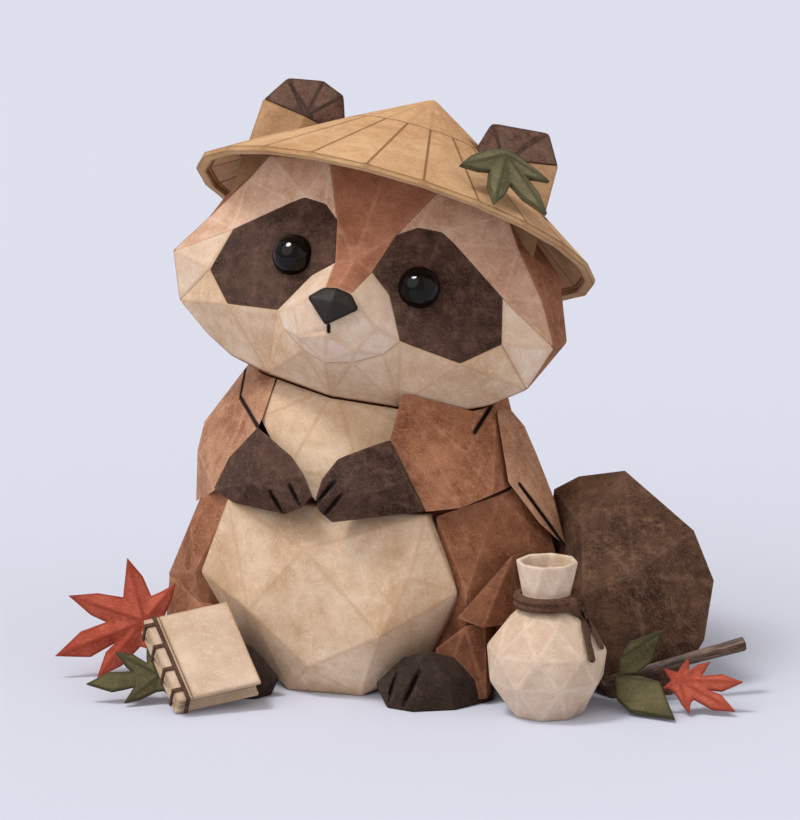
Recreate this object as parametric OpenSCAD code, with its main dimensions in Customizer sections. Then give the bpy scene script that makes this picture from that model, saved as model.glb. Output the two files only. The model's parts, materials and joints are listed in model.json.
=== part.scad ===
/* [Body] */
// Width of the seated body across the haunches
body_w = 74; // [66:1:84]
// Depth that the body tables are drawn for
body_d = 62; // [54:1:72]
// Height that the body tables are drawn for
body_h = 62; // [54:1:74]
// Share of the body's size that the folded body sheet takes
body_sheet_share = 0.05; // [0.03:0.01:0.08]
// Thickness of the flat base card under the body
base_t = 1; // [0.6:0.1:2]
// Bore of the rolled neck tube
neck_bore = 12; // [8:1:14]
// Wall of the rolled neck tube
neck_wall = 1.6; // [1:0.2:2.4]

/* [Head] */
// Width that the head tables are drawn for
head_w = 75; // [60:1:90]
// Depth that the head tables are drawn for
head_d = 62; // [50:1:72]
// Height that the head tables are drawn for
head_h = 62; // [50:1:70]
// How far the middle of the head stands above the body's full height
head_rise = 16; // [14:1:20]
// How far the head is rolled towards its left shoulder, in degrees
head_roll = 14.5; // [8:0.5:20]
// How far the face is lifted, in degrees
head_lift = 14; // [8:1:18]
// How far the face is turned on the neck, in degrees
head_turn = 18; // [8:1:24]
// How far the face looks back across the roll, in degrees
head_look = 12; // [6:1:18]
// Share of the head's size that one glued face sheet takes
sheet_share = 0.03; // [0.02:0.005:0.04]
// Diameter of the glass bead eyes
eye_d = 8.2; // [6:0.2:10]

/* [Hat] */
// Radius of the straw hat at its brim
hat_r = 40; // [36:1:48]
// Height of the straw hat
hat_h = 25.4; // [24:0.2:30]
// Thickness of the hat card, measured along the hat's axis
hat_t = 1.6; // [1:0.1:2]
// How far the hat leans back on the head, in degrees
hat_lean = 12.5; // [8:0.5:16]
// Number of folded panels round the hat
hat_panels = 22; // [16:2:28]
// Depth of the rim strip under the brim
rim_drop = 1; // [0.6:0.1:1.6]
// Width of the rim strip
rim_w = 2; // [1.4:0.1:3]
// Room that the hat's ear slots leave round each ear
ear_room = 0.5; // [0.3:0.1:1]
// Outer radius of the paper ring that the hat sits on
seat_r = 9; // [7:0.5:10]
// Wall of the paper ring that the hat sits on
seat_wall = 2; // [1.5:0.5:3]

/* [Pouch] */
// Greatest radius of the tied pouch
pouch_r = 11.4; // [9:0.2:12.4]
// Height of the tied pouch
pouch_h = 30; // [24:0.5:34]
// Thickness of the pouch's paper
pouch_wall = 0.9; // [0.6:0.1:1.2]
// Thickness of the drawcord round the pouch's neck
cord_d = 1.6; // [1.2:0.1:2]

/* [Account book] */
// Width of the book from its spine to its open edge
book_w = 17; // [14:0.5:20]
// Height of the book
book_h = 19.5; // [17:0.5:23]
// Thickness of the block of leaves
book_pages = 2.8; // [2:0.1:3.4]
// Thickness of one cover
cover_t = 0.8; // [0.5:0.1:1.2]
// Distance of the sewing holes from the spine
sewing_in = 3; // [2:0.2:4]
// Thickness of the sewing thread
thread_d = 0.8; // [0.6:0.1:1]
// How far the book leans back from lying flat, in degrees
book_lean = 40; // [36:1:44]

/* [Leaves and twig] */
// Spread of the large red maple leaf
red_leaf_size = 22; // [18:1:26]
// Spread of the green maple leaf beside the book
green_leaf_size = 16; // [12:1:18]
// Spread of the small red maple leaf
small_leaf_size = 14; // [11:1:16]
// Spread of the green leaf on the hat
hat_leaf_size = 19; // [15:1:21]
// Length of the twig
twig_l = 28; // [24:1:32]
// Thickness of the twig at its cut end
twig_d = 3; // [2:0.2:3.6]
// Thickness of every leaf
leaf_t = 0.9; // [0.6:0.1:1.2]

/* [Hidden] */

// Half sizes that the tables of shares are written in
body_unit = [body_w / 2, body_d / 2, body_h];
head_unit = [head_w / 2, head_d / 2, head_h / 2];
// Number of facets of true round things
round_fn = 48;
// Overrun of every cut
over = 1;
// Room between pieces that can be lifted off and what carries them
rest_gap = 0.1;

// Multiplies a share point by the half sizes of the head or the body
function sized(share, unit) = [share[0] * unit[0], share[1] * unit[1], share[2] * unit[2]];
function head_at(x, y, z) = sized([x, y, z], head_unit);
// Swaps left and right
function flip(p) = [-p[0], p[1], p[2]];
function flip_all(shares) = [for (p = shares) flip(p)];

// Builds one convex folded form from a table of shares
module lump(shares, unit) {
    points = [for (p = shares) sized(p, unit)];
    hull() polyhedron(points, [[for (i = [0 : len(points) - 1]) i]]);
}

// A fan of triangles from one corner round an open row of corners
function fan(centre, row) = [for (i = [0 : len(row) - 2]) [centre, row[i], row[i + 1]]];
function mirrored(triangles) = [for (t = triangles) [flip(t[0]), flip(t[2]), flip(t[1])]];
function both_sides(triangles) = concat(triangles, mirrored(triangles));
function place_of(p, list) = [for (i = [0 : len(list) - 1]) if (norm(list[i] - p) < 0.001) i][0];
function corners_of(triangles) =
    let (all = [for (t = triangles) for (p = t) p])
    [for (i = [0 : len(all) - 1]) if (place_of(all[i], all) == i) all[i]];
// Turns a triangle so that it faces away from the middle of the head
function outward(t) = cross(t[1] - t[0], t[2] - t[0]) * (t[0] + t[1] + t[2]) > 0 ? t : [t[0], t[2], t[1]];
function open_edges(faces) =
    let (edges = [for (f = faces) for (k = [0 : 2]) [f[k], f[(k + 1) % 3]]])
    [for (e = edges) if (len([for (g = edges) if (g[0] == e[1] && g[1] == e[0]) 1]) == 0) e];

// One glued sheet of folded paper: triangles pushed in towards the middle of the head
module sheet_panel(triangles, outer_share, inner_share) {
    turned = [for (t = triangles) outward(t)];
    corners = corners_of(turned);
    count = len(corners);
    faces = [for (t = turned) [for (p = t) place_of(p, corners)]];
    polyhedron(
        points = concat([for (p = corners) p * outer_share], [for (p = corners) p * inner_share]),
        faces = concat(
            [for (f = faces) [f[0], f[2], f[1]]],
            [for (f = faces) [f[0] + count, f[1] + count, f[2] + count]],
            [for (e = open_edges(faces)) [e[1] + count, e[0] + count, e[0]]],
            [for (e = open_edges(faces)) [e[1] + count, e[0], e[1]]]
        )
    );
}

// A closed form made of all the triangles round the middle of the head
module closed_form(triangles, size_share) {
    turned = [for (t = triangles) outward(t)];
    corners = corners_of(turned);
    polyhedron(
        points = [for (p = corners) p * size_share],
        faces = [for (t = turned) [place_of(t[0], corners), place_of(t[2], corners), place_of(t[1], corners)]]
    );
}

// Places of the hat and the crown in the head's own frame, as shares of the head
hat_back = head_d * 0.097;
hat_up = head_h * 0.16;
crown_h = hat_h * 0.488;

// Corners of the face on the tanuki's left half, which the right half mirrors
mask_top_in = head_at(0.25, -0.54, 0.31);
mask_top = head_at(0.37, -0.51, 0.32);
mask_top_out = head_at(0.44, -0.46, 0.27);
mask_out_high = head_at(0.73, -0.31, 0.02);
mask_out_low = head_at(0.79, -0.34, -0.26);
mask_low = head_at(0.63, -0.48, -0.44);
mask_low_in = head_at(0.33, -0.67, -0.40);
mask_by_muzzle = head_at(0.21, -0.63, -0.14);
mask_by_bridge = head_at(0.10, -0.68, -0.03);
mask_by_stripe = head_at(0.16, -0.60, 0.23);
eye_spot = head_at(0.345, -0.585, -0.05);
brim_middle = head_at(0, -0.50, 0.60);
brim_stripe = head_at(0.30, -0.46, 0.58);
bridge_middle = head_at(0, -0.70, 0.02);
brow_high = head_at(0.64, -0.30, 0.52);
brow_side = head_at(0.73, -0.24, 0.34);
brow_low = head_at(0.90, -0.12, 0.06);
cheek_point = head_at(1.03, -0.18, -0.20);
cheek_low = head_at(0.94, -0.14, -0.49);
jaw_side = head_at(0.77, -0.12, -0.64);
jaw_turn = head_at(0.60, -0.18, -0.74);
jaw_front = head_at(0.35, -0.36, -0.79);
jaw_middle = head_at(0, -0.42, -0.83);
chin_middle = head_at(0, -0.80, -0.64);
chin_side = head_at(0.13, -0.76, -0.60);
lip_corner = head_at(0.27, -0.70, -0.50);
lip_side = head_at(0.15, -0.86, -0.53);
lip_middle = head_at(0, -0.98, -0.47);
muzzle_side = head_at(0.22, -0.85, -0.36);
nose_top = head_at(0.07, -0.93, -0.19);
nose_side = head_at(0.13, -0.95, -0.265);
nose_low = head_at(0, -1.00, -0.40);
nose_middle = head_at(0, -1.00, -0.25);
nose_ridge = head_at(0, -0.96, -0.175);
skull_side = head_at(1.02, 0.22, -0.14);
skull_side_high = head_at(0.90, 0.22, 0.24);
skull_top_side = head_at(0.56, 0.14, 0.60);
skull_rear = head_at(0.73, 0.62, -0.10);
skull_rear_low = head_at(0.64, 0.48, -0.56);
skull_rear_high = head_at(0.42, 0.54, 0.47);
skull_back = head_at(0, 0.80, -0.04);
skull_back_high = head_at(0, 0.72, 0.40);
skull_back_low = head_at(0, 0.54, -0.70);
throat_side = head_at(0.42, 0.08, -0.80);
throat_middle = head_at(0, 0, -0.84);

// Corners of the flat crown, which lies square to the hat's axis
function crown_at(x, y) = [
    x,
    hat_back + y * cos(hat_lean) + crown_h * sin(hat_lean),
    hat_up - y * sin(hat_lean) + crown_h * cos(hat_lean)
];
crown_front = crown_at(seat_r * 0.97, -seat_r * 1.1);
crown_side = crown_at(seat_r * 1.45, 0);
crown_rear = crown_at(seat_r * 0.97, seat_r * 1.1);
crown_middle = crown_at(0, 0);

// Triangles of each glued sheet of the head
mask_row = [
    mask_top_in, mask_top, mask_top_out, mask_out_high, mask_out_low, mask_low,
    mask_low_in, mask_by_muzzle, mask_by_bridge, mask_by_stripe, mask_top_in
];
mask_sheet = fan(eye_spot, mask_row);
stripe_half = concat(
    fan(bridge_middle, [brim_middle, brim_stripe, mask_by_stripe, mask_by_bridge, nose_top]),
    [[bridge_middle, nose_top, nose_ridge]]
);
brow_sheet = [
    [brim_stripe, mask_by_stripe, mask_top_in],
    [brim_stripe, mask_top_in, mask_top],
    [brim_stripe, mask_top, brow_high],
    [brow_high, mask_top, mask_top_out],
    [brow_high, mask_top_out, brow_side],
    [brow_side, mask_top_out, mask_out_high],
    [brow_side, mask_out_high, brow_low],
    [brow_low, mask_out_high, cheek_point]
];
cheek_sheet = [
    [mask_out_high, mask_out_low, cheek_point],
    [cheek_point, mask_out_low, cheek_low]
];
jaw_half = concat(
    fan(mask_low, [mask_out_low, cheek_low, jaw_side, jaw_turn, jaw_front, mask_low_in]),
    fan(jaw_front, [mask_low_in, lip_corner, chin_side, jaw_middle]),
    [[chin_side, chin_middle, jaw_middle]]
);
nose_half = [
    [nose_ridge, nose_top, nose_middle],
    [nose_middle, nose_top, nose_side],
    [nose_middle, nose_side, nose_low]
];
muzzle_half = concat(
    nose_half,
    fan(muzzle_side, [nose_top, mask_by_muzzle, mask_low_in, lip_corner, lip_side, nose_side, nose_top]),
    fan(lip_side, [nose_side, nose_low, lip_middle, chin_middle, chin_side, lip_corner]),
    [[mask_by_bridge, mask_by_muzzle, nose_top]]
);
back_half = concat(
    [[brim_middle, brim_stripe, crown_front]],

    fan(brow_high, [brim_stripe, crown_front, crown_side, skull_top_side, brow_side]),
    fan(skull_side_high, [skull_top_side, brow_side, brow_low, skull_side]),
    fan(skull_side, [brow_low, cheek_point, cheek_low, skull_rear_low, skull_rear, skull_side_high]),
    fan(skull_rear_high, [skull_side_high, skull_rear, skull_back, skull_back_high, crown_rear, crown_side]),
    fan(skull_rear_high, [crown_side, skull_top_side, skull_side_high]),
    fan(skull_rear_low, [skull_rear, skull_back, skull_back_low, throat_side, jaw_side, cheek_low]),
    fan(throat_side, [jaw_side, jaw_turn, jaw_front, throat_middle, skull_back_low]),
    [[jaw_front, jaw_middle, throat_middle]],
    fan(crown_middle, [crown_front, crown_side, crown_rear])
);
back_middle = [
    [brim_middle, crown_front, flip(crown_front)],
    [skull_back_high, crown_rear, flip(crown_rear)],
    [crown_middle, crown_rear, flip(crown_rear)],
    [crown_middle, crown_front, flip(crown_front)]
];
back_sheet = concat(both_sides(back_half), back_middle);

// Tables of shares of the body, x to its left side, y to its back and z up from the base card
base_share = base_t / body_h;
body_shares = [
    [0.67, -0.70, base_share], [0.83, 0, base_share], [0.60, 0.68, base_share], [0, 0.82, base_share],
    [0.80, -0.64, 0.20], [0.97, 0.04, 0.20], [0.70, 0.82, 0.20], [0, 1.0, 0.20],
    [0.67, -0.68, 0.50], [0.87, 0, 0.50], [0.57, 0.74, 0.50], [0, 0.86, 0.50],
    [0.50, -0.56, 0.72], [0.68, -0.04, 0.72], [0.43, 0.54, 0.72],
    [0.36, -0.34, 0.91], [0.50, -0.04, 0.91], [0.30, 0.32, 0.90]
];
chest_shares = [
    [0.35, -0.56, 0.95], [0.40, -0.74, 0.84], [0.20, -0.94, 0.70], [0, -1.0, 0.61],
    [0.32, -0.36, 0.82], [0, -0.50, 0.55], [0, -0.70, 0.95]
];
belly_shares = [
    [0.54, -0.88, 0.59], [0.70, -0.84, 0.345], [0.53, -0.72, 0.13], [0.20, -0.92, 0],
    [0.50, -0.50, 0.55], [0.60, -0.50, 0.20], [0.30, -0.50, 0]
];
belly_front_shares = [
    [-0.07, -1.08, 0.475], [0.48, -1.0, 0.40], [-0.38, -1.06, 0.265], [0.35, -1.10, 0.22],
    [-0.34, -1.0, 0.46], [-0.05, -1.08, 0.10]
];
haunch_shares = [
    [0.56, -0.76, 0.57], [0.74, -0.80, 0.34], [0.83, -0.58, 0.46], [1.03, -0.30, 0.256],
    [1.0, -0.30, 0.12], [0.92, -0.26, 0.375], [0.98, 0.20, 0.20], [0.88, 0.30, 0.02],
    [0.94, -0.44, 0], [0.62, -0.62, 0], [0.72, -0.76, 0.16], [0.80, 0, 0.50]
];
// Each haunch is drawn up under its arm, and the left one out to the flap of the back
haunch_right_more_shares = [[-0.84, -0.30, 0.53], [-0.70, -0.60, 0.60]];
haunch_left_more_shares = [[1.06, -0.20, 0.42], [0.92, -0.16, 0.64], [0.84, -0.50, 0.62]];
thigh_left_shares = [
    [0.96, -0.70, 0.46], [0.71, -0.90, 0.27], [0.86, -0.92, 0.25], [1.01, -0.72, 0.25],
    [1.06, -0.42, 0.28], [0.98, -0.40, 0.44], [0.70, -0.60, 0.24], [0.90, -0.30, 0.24]
];
thigh_right_shares = [
    [-0.97, -0.50, 0.275], [-0.64, -0.88, 0.225], [-0.68, -0.92, 0.08], [-0.90, -0.74, 0.04],
    [-1.0, -0.50, 0.04], [-0.70, -0.50, 0.24], [-0.90, -0.30, 0.04]
];
lower_leg_shares = [
    [0.60, -0.90, 0.17], [0.76, -0.92, 0.25], [0.85, -0.84, 0.26], [0.87, -0.88, 0.02],
    [0.62, -0.92, 0], [0.86, -0.56, 0.05], [0.70, -0.60, 0.15], [0.86, -0.66, 0.24]
];
foot_shares = [
    [0.35, -1.0, 0], [0.30, -1.02, 0.06], [0.40, -1.14, 0], [0.55, -1.19, 0], [0.75, -1.06, 0],
    [0.88, -0.76, 0], [0.88, -0.76, 0.06], [0.60, -1.04, 0.18], [0.45, -1.0, 0.15],
    [0.50, -1.17, 0.08], [0.72, -1.06, 0.10], [0.76, -0.84, 0.13]
];
// How far the right foot stands nearer to the middle than the left one, as shares of the body
foot_step_share = [0.10, -0.06, 0];
arm_right_shares = [
    [-0.62, -0.12, 0.94], [-0.48, -0.50, 0.92], [-0.86, -0.20, 0.74], [-0.87, -0.30, 0.66],
    [-0.88, -0.30, 0.495], [-0.65, -0.76, 0.595], [-0.40, -0.84, 0.80], [-0.80, 0.20, 0.55],
    [-0.62, 0.25, 0.80], [-0.42, -0.30, 0.93], [-0.36, -0.58, 0.945], [-0.38, -0.78, 0.84]
];
arm_left_shares = [
    [0.38, -0.82, 0.89], [0.75, -0.24, 0.90], [0.75, 0, 0.87], [0.88, -0.30, 0.635],
    [0.84, -0.64, 0.64], [0.72, -0.84, 0.615], [0.55, -0.92, 0.605], [0.355, -0.92, 0.825],
    [0.70, -0.66, 0.76], [0.80, 0.20, 0.60], [0.62, 0.25, 0.80], [0.38, -0.76, 0.95]
];
paw_right_shares = [
    [-0.375, -0.88, 0.825], [-0.14, -1.06, 0.765], [-0.05, -1.14, 0.72], [0.0, -1.16, 0.66],
    [-0.065, -1.14, 0.615], [-0.165, -1.10, 0.585], [-0.28, -1.06, 0.595], [-0.49, -0.93, 0.585],
    [-0.66, -0.74, 0.595], [-0.555, -0.80, 0.71], [-0.35, -1.14, 0.68], [-0.20, -0.80, 0.62],
    [-0.40, -0.66, 0.68]
];
paw_left_shares = [
    [0.355, -0.92, 0.825], [0.25, -1.04, 0.805], [0.12, -1.10, 0.775], [0.05, -1.16, 0.715],
    [0.02, -1.18, 0.655], [0.035, -1.16, 0.61], [0.10, -1.14, 0.575], [0.26, -1.08, 0.60],
    [0.55, -0.93, 0.605], [0.47, -0.98, 0.71], [0.30, -1.17, 0.68], [0.20, -0.80, 0.62],
    [0.40, -0.66, 0.68]
];
flap_shares = [
    [0.72, -0.04, 0.87], [0.84, 0, 0.78], [1.01, -0.10, 0.595], [1.12, -0.20, 0.43],
    [1.02, -0.36, 0.52], [0.92, -0.34, 0.66], [0.62, 0.30, 0.82], [0.90, 0.40, 0.46],
    [1.0, 0.25, 0.42], [0.74, 0.45, 0.68], [0.88, -0.48, 0.66], [0.78, -0.34, 0.86]
];
tail_shares = [
    [1.87, 0, 0.335], [1.36, 0.10, 0.65], [1.11, 0.10, 0.62], [0.97, 0.12, 0.57], [1.76, 0, 0.49],
    [1.86, -0.16, 0.165], [1.45, -0.50, 0], [1.72, -0.30, 0], [1.30, -0.54, 0.33], [1.56, -0.48, 0.40],
    [1.62, -0.48, 0.18], [1.15, -0.42, 0.14], [1.24, -0.34, 0.52], [1.50, 0.55, 0.35],
    [1.30, 0.62, 0.15], [1.65, 0.40, 0.15], [1.0, 0.70, 0.10], [1.0, 0.60, 0.40],
    [1.20, 0.50, 0.54], [1.50, 0.30, 0], [1.0, 0.30, 0], [0.75, 0.60, 0.05]
];

// Half of a body table doubled across the middle
function whole(shares) = concat(shares, flip_all(shares));

module body_form() lump(whole(body_shares), body_unit);
module belly_form() lump(concat(whole(belly_shares), belly_front_shares), body_unit);
module chest_form() lump(whole(chest_shares), body_unit);
module haunch_form(side)
    lump(
        side < 0
            ? concat(flip_all(haunch_shares), haunch_right_more_shares)
            : concat(haunch_shares, haunch_left_more_shares),
        body_unit
    );
module thigh_form(side) lump(side < 0 ? thigh_right_shares : thigh_left_shares, body_unit);
module lower_leg_form(side) lump([for (p = lower_leg_shares) [side * p[0], p[1], p[2]]], body_unit);
module foot_form(side) {
    step = side < 0 ? foot_step_share : [0, 0, 0];
    lump([for (p = foot_shares) [side * p[0], p[1], p[2]] + step], body_unit);
}
module arm_form(side) lump(side < 0 ? arm_right_shares : arm_left_shares, body_unit);
module paw_form(side) lump(side < 0 ? paw_right_shares : paw_left_shares, body_unit);
module head_form(size_share) on_neck() closed_form(head_triangles, size_share);

head_triangles = concat(
    both_sides(mask_sheet), both_sides(stripe_half), both_sides(brow_sheet), both_sides(cheek_sheet),
    both_sides(jaw_half), both_sides(muzzle_half), back_sheet
);

// Place of the head over the body, and how much room the body leaves under it
head_up = body_h + head_rise;
head_aside = head_w * 0.033;
head_ahead = -head_d * 0.06;
head_clear_share = 1.015;
neck_from = body_h * 0.76;
neck_to = head_up - head_h * 0.30;

// Outline of the base card, the same as the foot of the body sheet
base_outline_shares = [
    [0.67, -0.70], [0.83, 0], [0.60, 0.68], [0, 0.82], [-0.60, 0.68], [-0.83, 0], [-0.67, -0.70]
];

// Ears, in the hat's frame, as shares of their width, depth and height
ear_unit = [head_w * 0.257, head_d * 0.16, head_h * 0.326];
// The left ear stands taller than the right one
ear_left_share = 1.1;
ear_left_in = head_w * 0.016;
ear_spot = [head_w * 0.157, -head_d * 0.21, 0];
ear_root_shares = [[0, 0.57], [0.45, 0], [1, 0.43], [0.90, 0.88], [0.16, 1]];
ear_border_shares = [
    [0.04, 0.57, 0.58], [0.46, 0.06, 0.63], [0.96, 0.43, 0.74], [0.86, 0.83, 0.74], [0.19, 0.92, 0.60]
];
ear_top_shares = [[0.78, 0.38, 1], [0.18, 0.43, 0.97], [0.62, 0.60, 0.96]];
// One more corner on top of the right ear
ear_right_more_shares = [[0.42, 0.40, 1.06]];
ear_middle_share = [0.5, 0.5];
// How far the ears reach down below the brim's height, as a share of their height
ear_down_share = 0.4;

// Eyes stand this far out of the face, as a share of the head's size
eye_out_share = 0.98;

// The hat leaf leans on the hat's left front, its lowest lobe at the brim
hat_leaf_stand = 58;
hat_leaf_turn = 30;
hat_leaf_round = 41;
hat_leaf_out_share = 0.83;
leaf_hang_share = 0.68;

// Folded rings of the hat
ring_share = 0.40;
ring_lift_share = 0.015;
hat_slope = hat_h * (1 - ring_share + ring_lift_share) / (hat_r * (1 - ring_share));
hat_leaf_lift = hat_leaf_size * leaf_hang_share * (sin(hat_leaf_stand) - cos(hat_leaf_stand) * hat_slope);
hat_leaf_spot = [
    hat_r * hat_leaf_out_share * sin(hat_leaf_round),
    -hat_r * hat_leaf_out_share * cos(hat_leaf_round),
    hat_r * (1 - hat_leaf_out_share) * hat_slope + hat_leaf_lift
];
seat_top = hat_h * (1 - seat_r / (hat_r * cos(180 / hat_panels))) - hat_t;

// Lobes of each maple leaf: direction in degrees and length as a share of the leaf's spread
red_leaf_shares = [[52, 0.42], [107, 0.58], [162, 0.72], [201, 0.86], [229, 0.66], [285, 0.36], [345, 0.34]];
green_leaf_shares = [[30, 0.36], [62, 0.36], [112, 0.42], [150, 0.62], [185, 0.88], [219, 0.54], [297, 0.27]];
small_leaf_shares = [[0, 0.85], [35, 0.50], [72, 0.36], [139, 0.30], [200, 0.26], [285, 0.46], [331, 0.85]];
hat_leaf_shares = [[110, 0.12], [217, 0.62], [263, 0.72], [310, 0.76], [345, 0.51]];
notch_share = 0.45;
shoulder_share = 0.68;
shoulder_turn = 12;
shoulder_room_share = 0.42;

// A maple leaf's outline: between every two lobes a notch, and on every lobe two shoulders and a tip
function polar(angle, length) = [length * cos(angle), length * sin(angle)];
function turn_to(a, b) = (b > a ? b : b + 360) - a;
function shoulder_angle(a, b) = min(shoulder_turn, turn_to(a, b) * shoulder_room_share);
function maple_outline(lobes, size) = [
    for (i = [0 : len(lobes) - 1])
        let (lobe = lobes[i], next = lobes[(i + 1) % len(lobes)], last = lobes[(i + len(lobes) - 1) % len(lobes)])
        each [
            polar(lobe[0] - shoulder_angle(last[0], lobe[0]), lobe[1] * shoulder_share * size),
            polar(lobe[0], lobe[1] * size),
            polar(lobe[0] + shoulder_angle(lobe[0], next[0]), lobe[1] * shoulder_share * size),
            polar(lobe[0] + turn_to(lobe[0], next[0]) / 2, notch_share * size * (lobe[1] + next[1]) / 2)
        ]
];
// A plain pointed leaf along the x axis, as shares of its length
lance_shares = [[0, 0], [0.22, 0.19], [0.50, 0.24], [1, 0], [0.50, -0.22], [0.22, -0.18]];

// Loose pieces face the front left; their places are shares of the body
view_turn = 18;
red_leaf_spot = sized([-0.999, -0.839, 0], body_unit);
red_leaf_angle = 15;
green_leaf_spot = sized([-0.759, -1.424, 0], body_unit);
green_leaf_angle = 35;
small_leaf_spot = sized([1.857, -0.656, 0], body_unit);
small_leaf_angle = 30;
twig_from = sized([1.441, -0.661, 0.073], body_unit);
twig_to = sized([2.051, -0.154, 0.158], body_unit);
upper_leaf_spot = sized([1.513, -0.632, 0.096], body_unit);
twig_thin_share = 0.6;
twig_sides = 6;
upper_leaf_l = twig_l * 0.45;
upper_leaf_turn = 46;
upper_leaf_angle = 4;
lower_leaf_spot = sized([1.505, -0.632, 0.072], body_unit);
lower_leaf_l = twig_l * 0.63;
lower_leaf_turn = -50;
lower_leaf_dip = 13;
lower_leaf_roll = 28;

// The pouch stands against the left thigh; its outline is in shares of its radius and height
pouch_sides = 8;
pouch_turn = 8;
pouch_shares = [
    [0.60, 0], [0.98, 0.23], [1.02, 0.43], [0.70, 0.61], [0.42, 0.70], [0.42, 0.79], [0.53, 1]
];
neck_share = 0.42;
// It stands off the thigh's corner by its own radius at the height of that corner
thigh_corner = sized([1.01, -0.72, 0.25], body_unit);
pouch_way = [0.742, -0.670];
pouch_gap = 0.2;
pouch_reach = pouch_gap + 0.98 * pouch_r * lookup(thigh_corner[2] / pouch_h, [for (p = pouch_shares) [p[1], p[0]]]);
pouch_spot = [thigh_corner[0] + pouch_reach * pouch_way[0], thigh_corner[1] + pouch_reach * pouch_way[1], 0];
// The cord goes twice round the neck; its outline is in thicknesses of the cord, out and up
cord_outline_shares = [[0, -0.8], [0.8, -0.8], [1, -0.4], [0.75, 0], [1, 0.4], [0.8, 0.8], [0, 0.8]];
cord_steps = 24;
cord_gap = 0.12;
cord_in_r = pouch_r * neck_share + cord_gap;
cord_up_share = 0.745;
knot_d = cord_d * 1.9;
knot_turn = -28;
// Where the two loose ends of the cord lie: turn, and shares of the pouch's radius and height
cord_end_shares = [[-30, 0.82, 0.60], [-32, 1.10, 0.42]];
cord_end_short_shares = [[-20, 0.82, 0.60], [-18, 1.08, 0.47]];

// The book stands on its lower spine corner
book_turn = 30;
book_roll = 11;
page_in = cover_t * 0.7;
thread_up = thread_d * 0.5;
stitch_shares = [0.10, 0.36, 0.64, 0.90];
hinge_gap = 0.15;
sewing_line = sewing_in - 1.7 * thread_d;
// Raised until the end loop of its thread just touches the table
book_rest = max(0, (thread_up * cos(book_roll) - sewing_line * sin(book_roll)) * sin(book_lean));
book_spot = [-body_unit[0] * 0.60, -body_unit[1] * 1.685, book_rest];

// Moves what follows into the head's own frame
module on_neck()
    translate([head_aside, head_ahead, head_up])
        rotate([0, 0, head_turn])
            rotate([-head_lift, 0, 0])
                rotate([0, head_roll, 0])
                    rotate([0, 0, -head_look])
                        children();

// Moves what follows into the hat's own frame, with its brim at height zero
module in_hat() on_neck() translate([0, hat_back, hat_up]) rotate([-hat_lean, 0, 0]) children();

module base_form()
    linear_extrude(base_t)
        polygon([for (p = base_outline_shares) [p[0] * body_unit[0], p[1] * body_unit[1]]]);

module base_card() color("tan") base_form();

module body_shell()
    color("sienna")
        difference() {
            body_form();
            translate([0, 0, base_t])
                scale(1 - 2 * body_sheet_share)
                    translate([0, 0, -base_t])
                        body_form();
            translate([0, 0, neck_from])
                cylinder(h = neck_to - neck_from, r = neck_bore / 2 + neck_wall, $fn = round_fn);
            head_form(head_clear_share);
        }

module neck_tube()
    color("tan")
        difference() {
            translate([0, 0, neck_from])
                cylinder(h = neck_to - neck_from, r = neck_bore / 2 + neck_wall, $fn = round_fn);
            translate([0, 0, neck_from - over])
                cylinder(h = neck_to - neck_from + 2 * over, r = neck_bore / 2, $fn = round_fn);
            head_form(1);
        }

module chest_panel()
    color("wheat")
        difference() {
            chest_form();
            body_form();
            belly_form();
            head_form(head_clear_share);
        }

module belly_panel()
    color("wheat")
        difference() {
            belly_form();
            body_form();
            base_form();
        }

module haunch(side)
    color("sienna")
        difference() {
            haunch_form(side);
            body_form();
            base_form();
            belly_form();
            arm_form(side);
        }

module thigh(side)
    color("sienna")
        difference() {
            thigh_form(side);
            haunch_form(side);
            body_form();
            base_form();
            belly_form();
            foot_form(side);
        }

module lower_leg_left()
    color("saddlebrown")
        difference() {
            lower_leg_form(1);
            thigh_form(1);
            haunch_form(1);
            body_form();
            base_form();
            belly_form();
            foot_form(1);
        }

module foot(side)
    color("darkslategray")
        difference() {
            foot_form(side);
            base_form();
            belly_form();
            haunch_form(side);
        }

module arm(side)
    color("sienna")
        difference() {
            arm_form(side);
            body_form();
            chest_form();
            belly_form();
            paw_form(side);
            head_form(head_clear_share);
        }

module paw(side)
    color("darkslategray")
        difference() {
            paw_form(side);
            body_form();
            chest_form();
            belly_form();
        }

module back_flap()
    color("sienna")
        difference() {
            lump(flap_shares, body_unit);
            body_form();
            arm_form(1);
            haunch_form(1);
            head_form(head_clear_share);
        }

module tail()
    color("dimgray")
        difference() {
            lump(tail_shares, body_unit);
            body_form();
            base_form();
            haunch_form(1);
            lump(flap_shares, body_unit);
        }

module head_core() color("tan") on_neck() closed_form(head_triangles, 1 - sheet_share);

module head_sheet(triangles) on_neck() sheet_panel(triangles, 1, 1 - sheet_share);

module head_back() color("sienna") head_sheet(back_sheet);

module forehead_stripe() color("peru") head_sheet(both_sides(stripe_half));

module brow(side) color("burlywood") head_sheet(side < 0 ? mirrored(brow_sheet) : brow_sheet);

module mask(side) color("darkslategray") head_sheet(side < 0 ? mirrored(mask_sheet) : mask_sheet);

module cheek(side) color("antiquewhite") head_sheet(side < 0 ? mirrored(cheek_sheet) : cheek_sheet);

module jaw() color("wheat") head_sheet(both_sides(jaw_half));

module muzzle() color("antiquewhite") head_sheet(both_sides(muzzle_half));

// The nose is a thick folded sheet glued over the front of the muzzle
module nose() color("black") on_neck() sheet_panel(both_sides(nose_half), 1 + 2 * sheet_share, 1);

module eye(side)
    color("black")
        difference() {
            on_neck()
                translate((side < 0 ? flip(eye_spot) : eye_spot) * eye_out_share)
                    sphere(d = eye_d, $fn = round_fn);
            head_form(1);
        }

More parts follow.
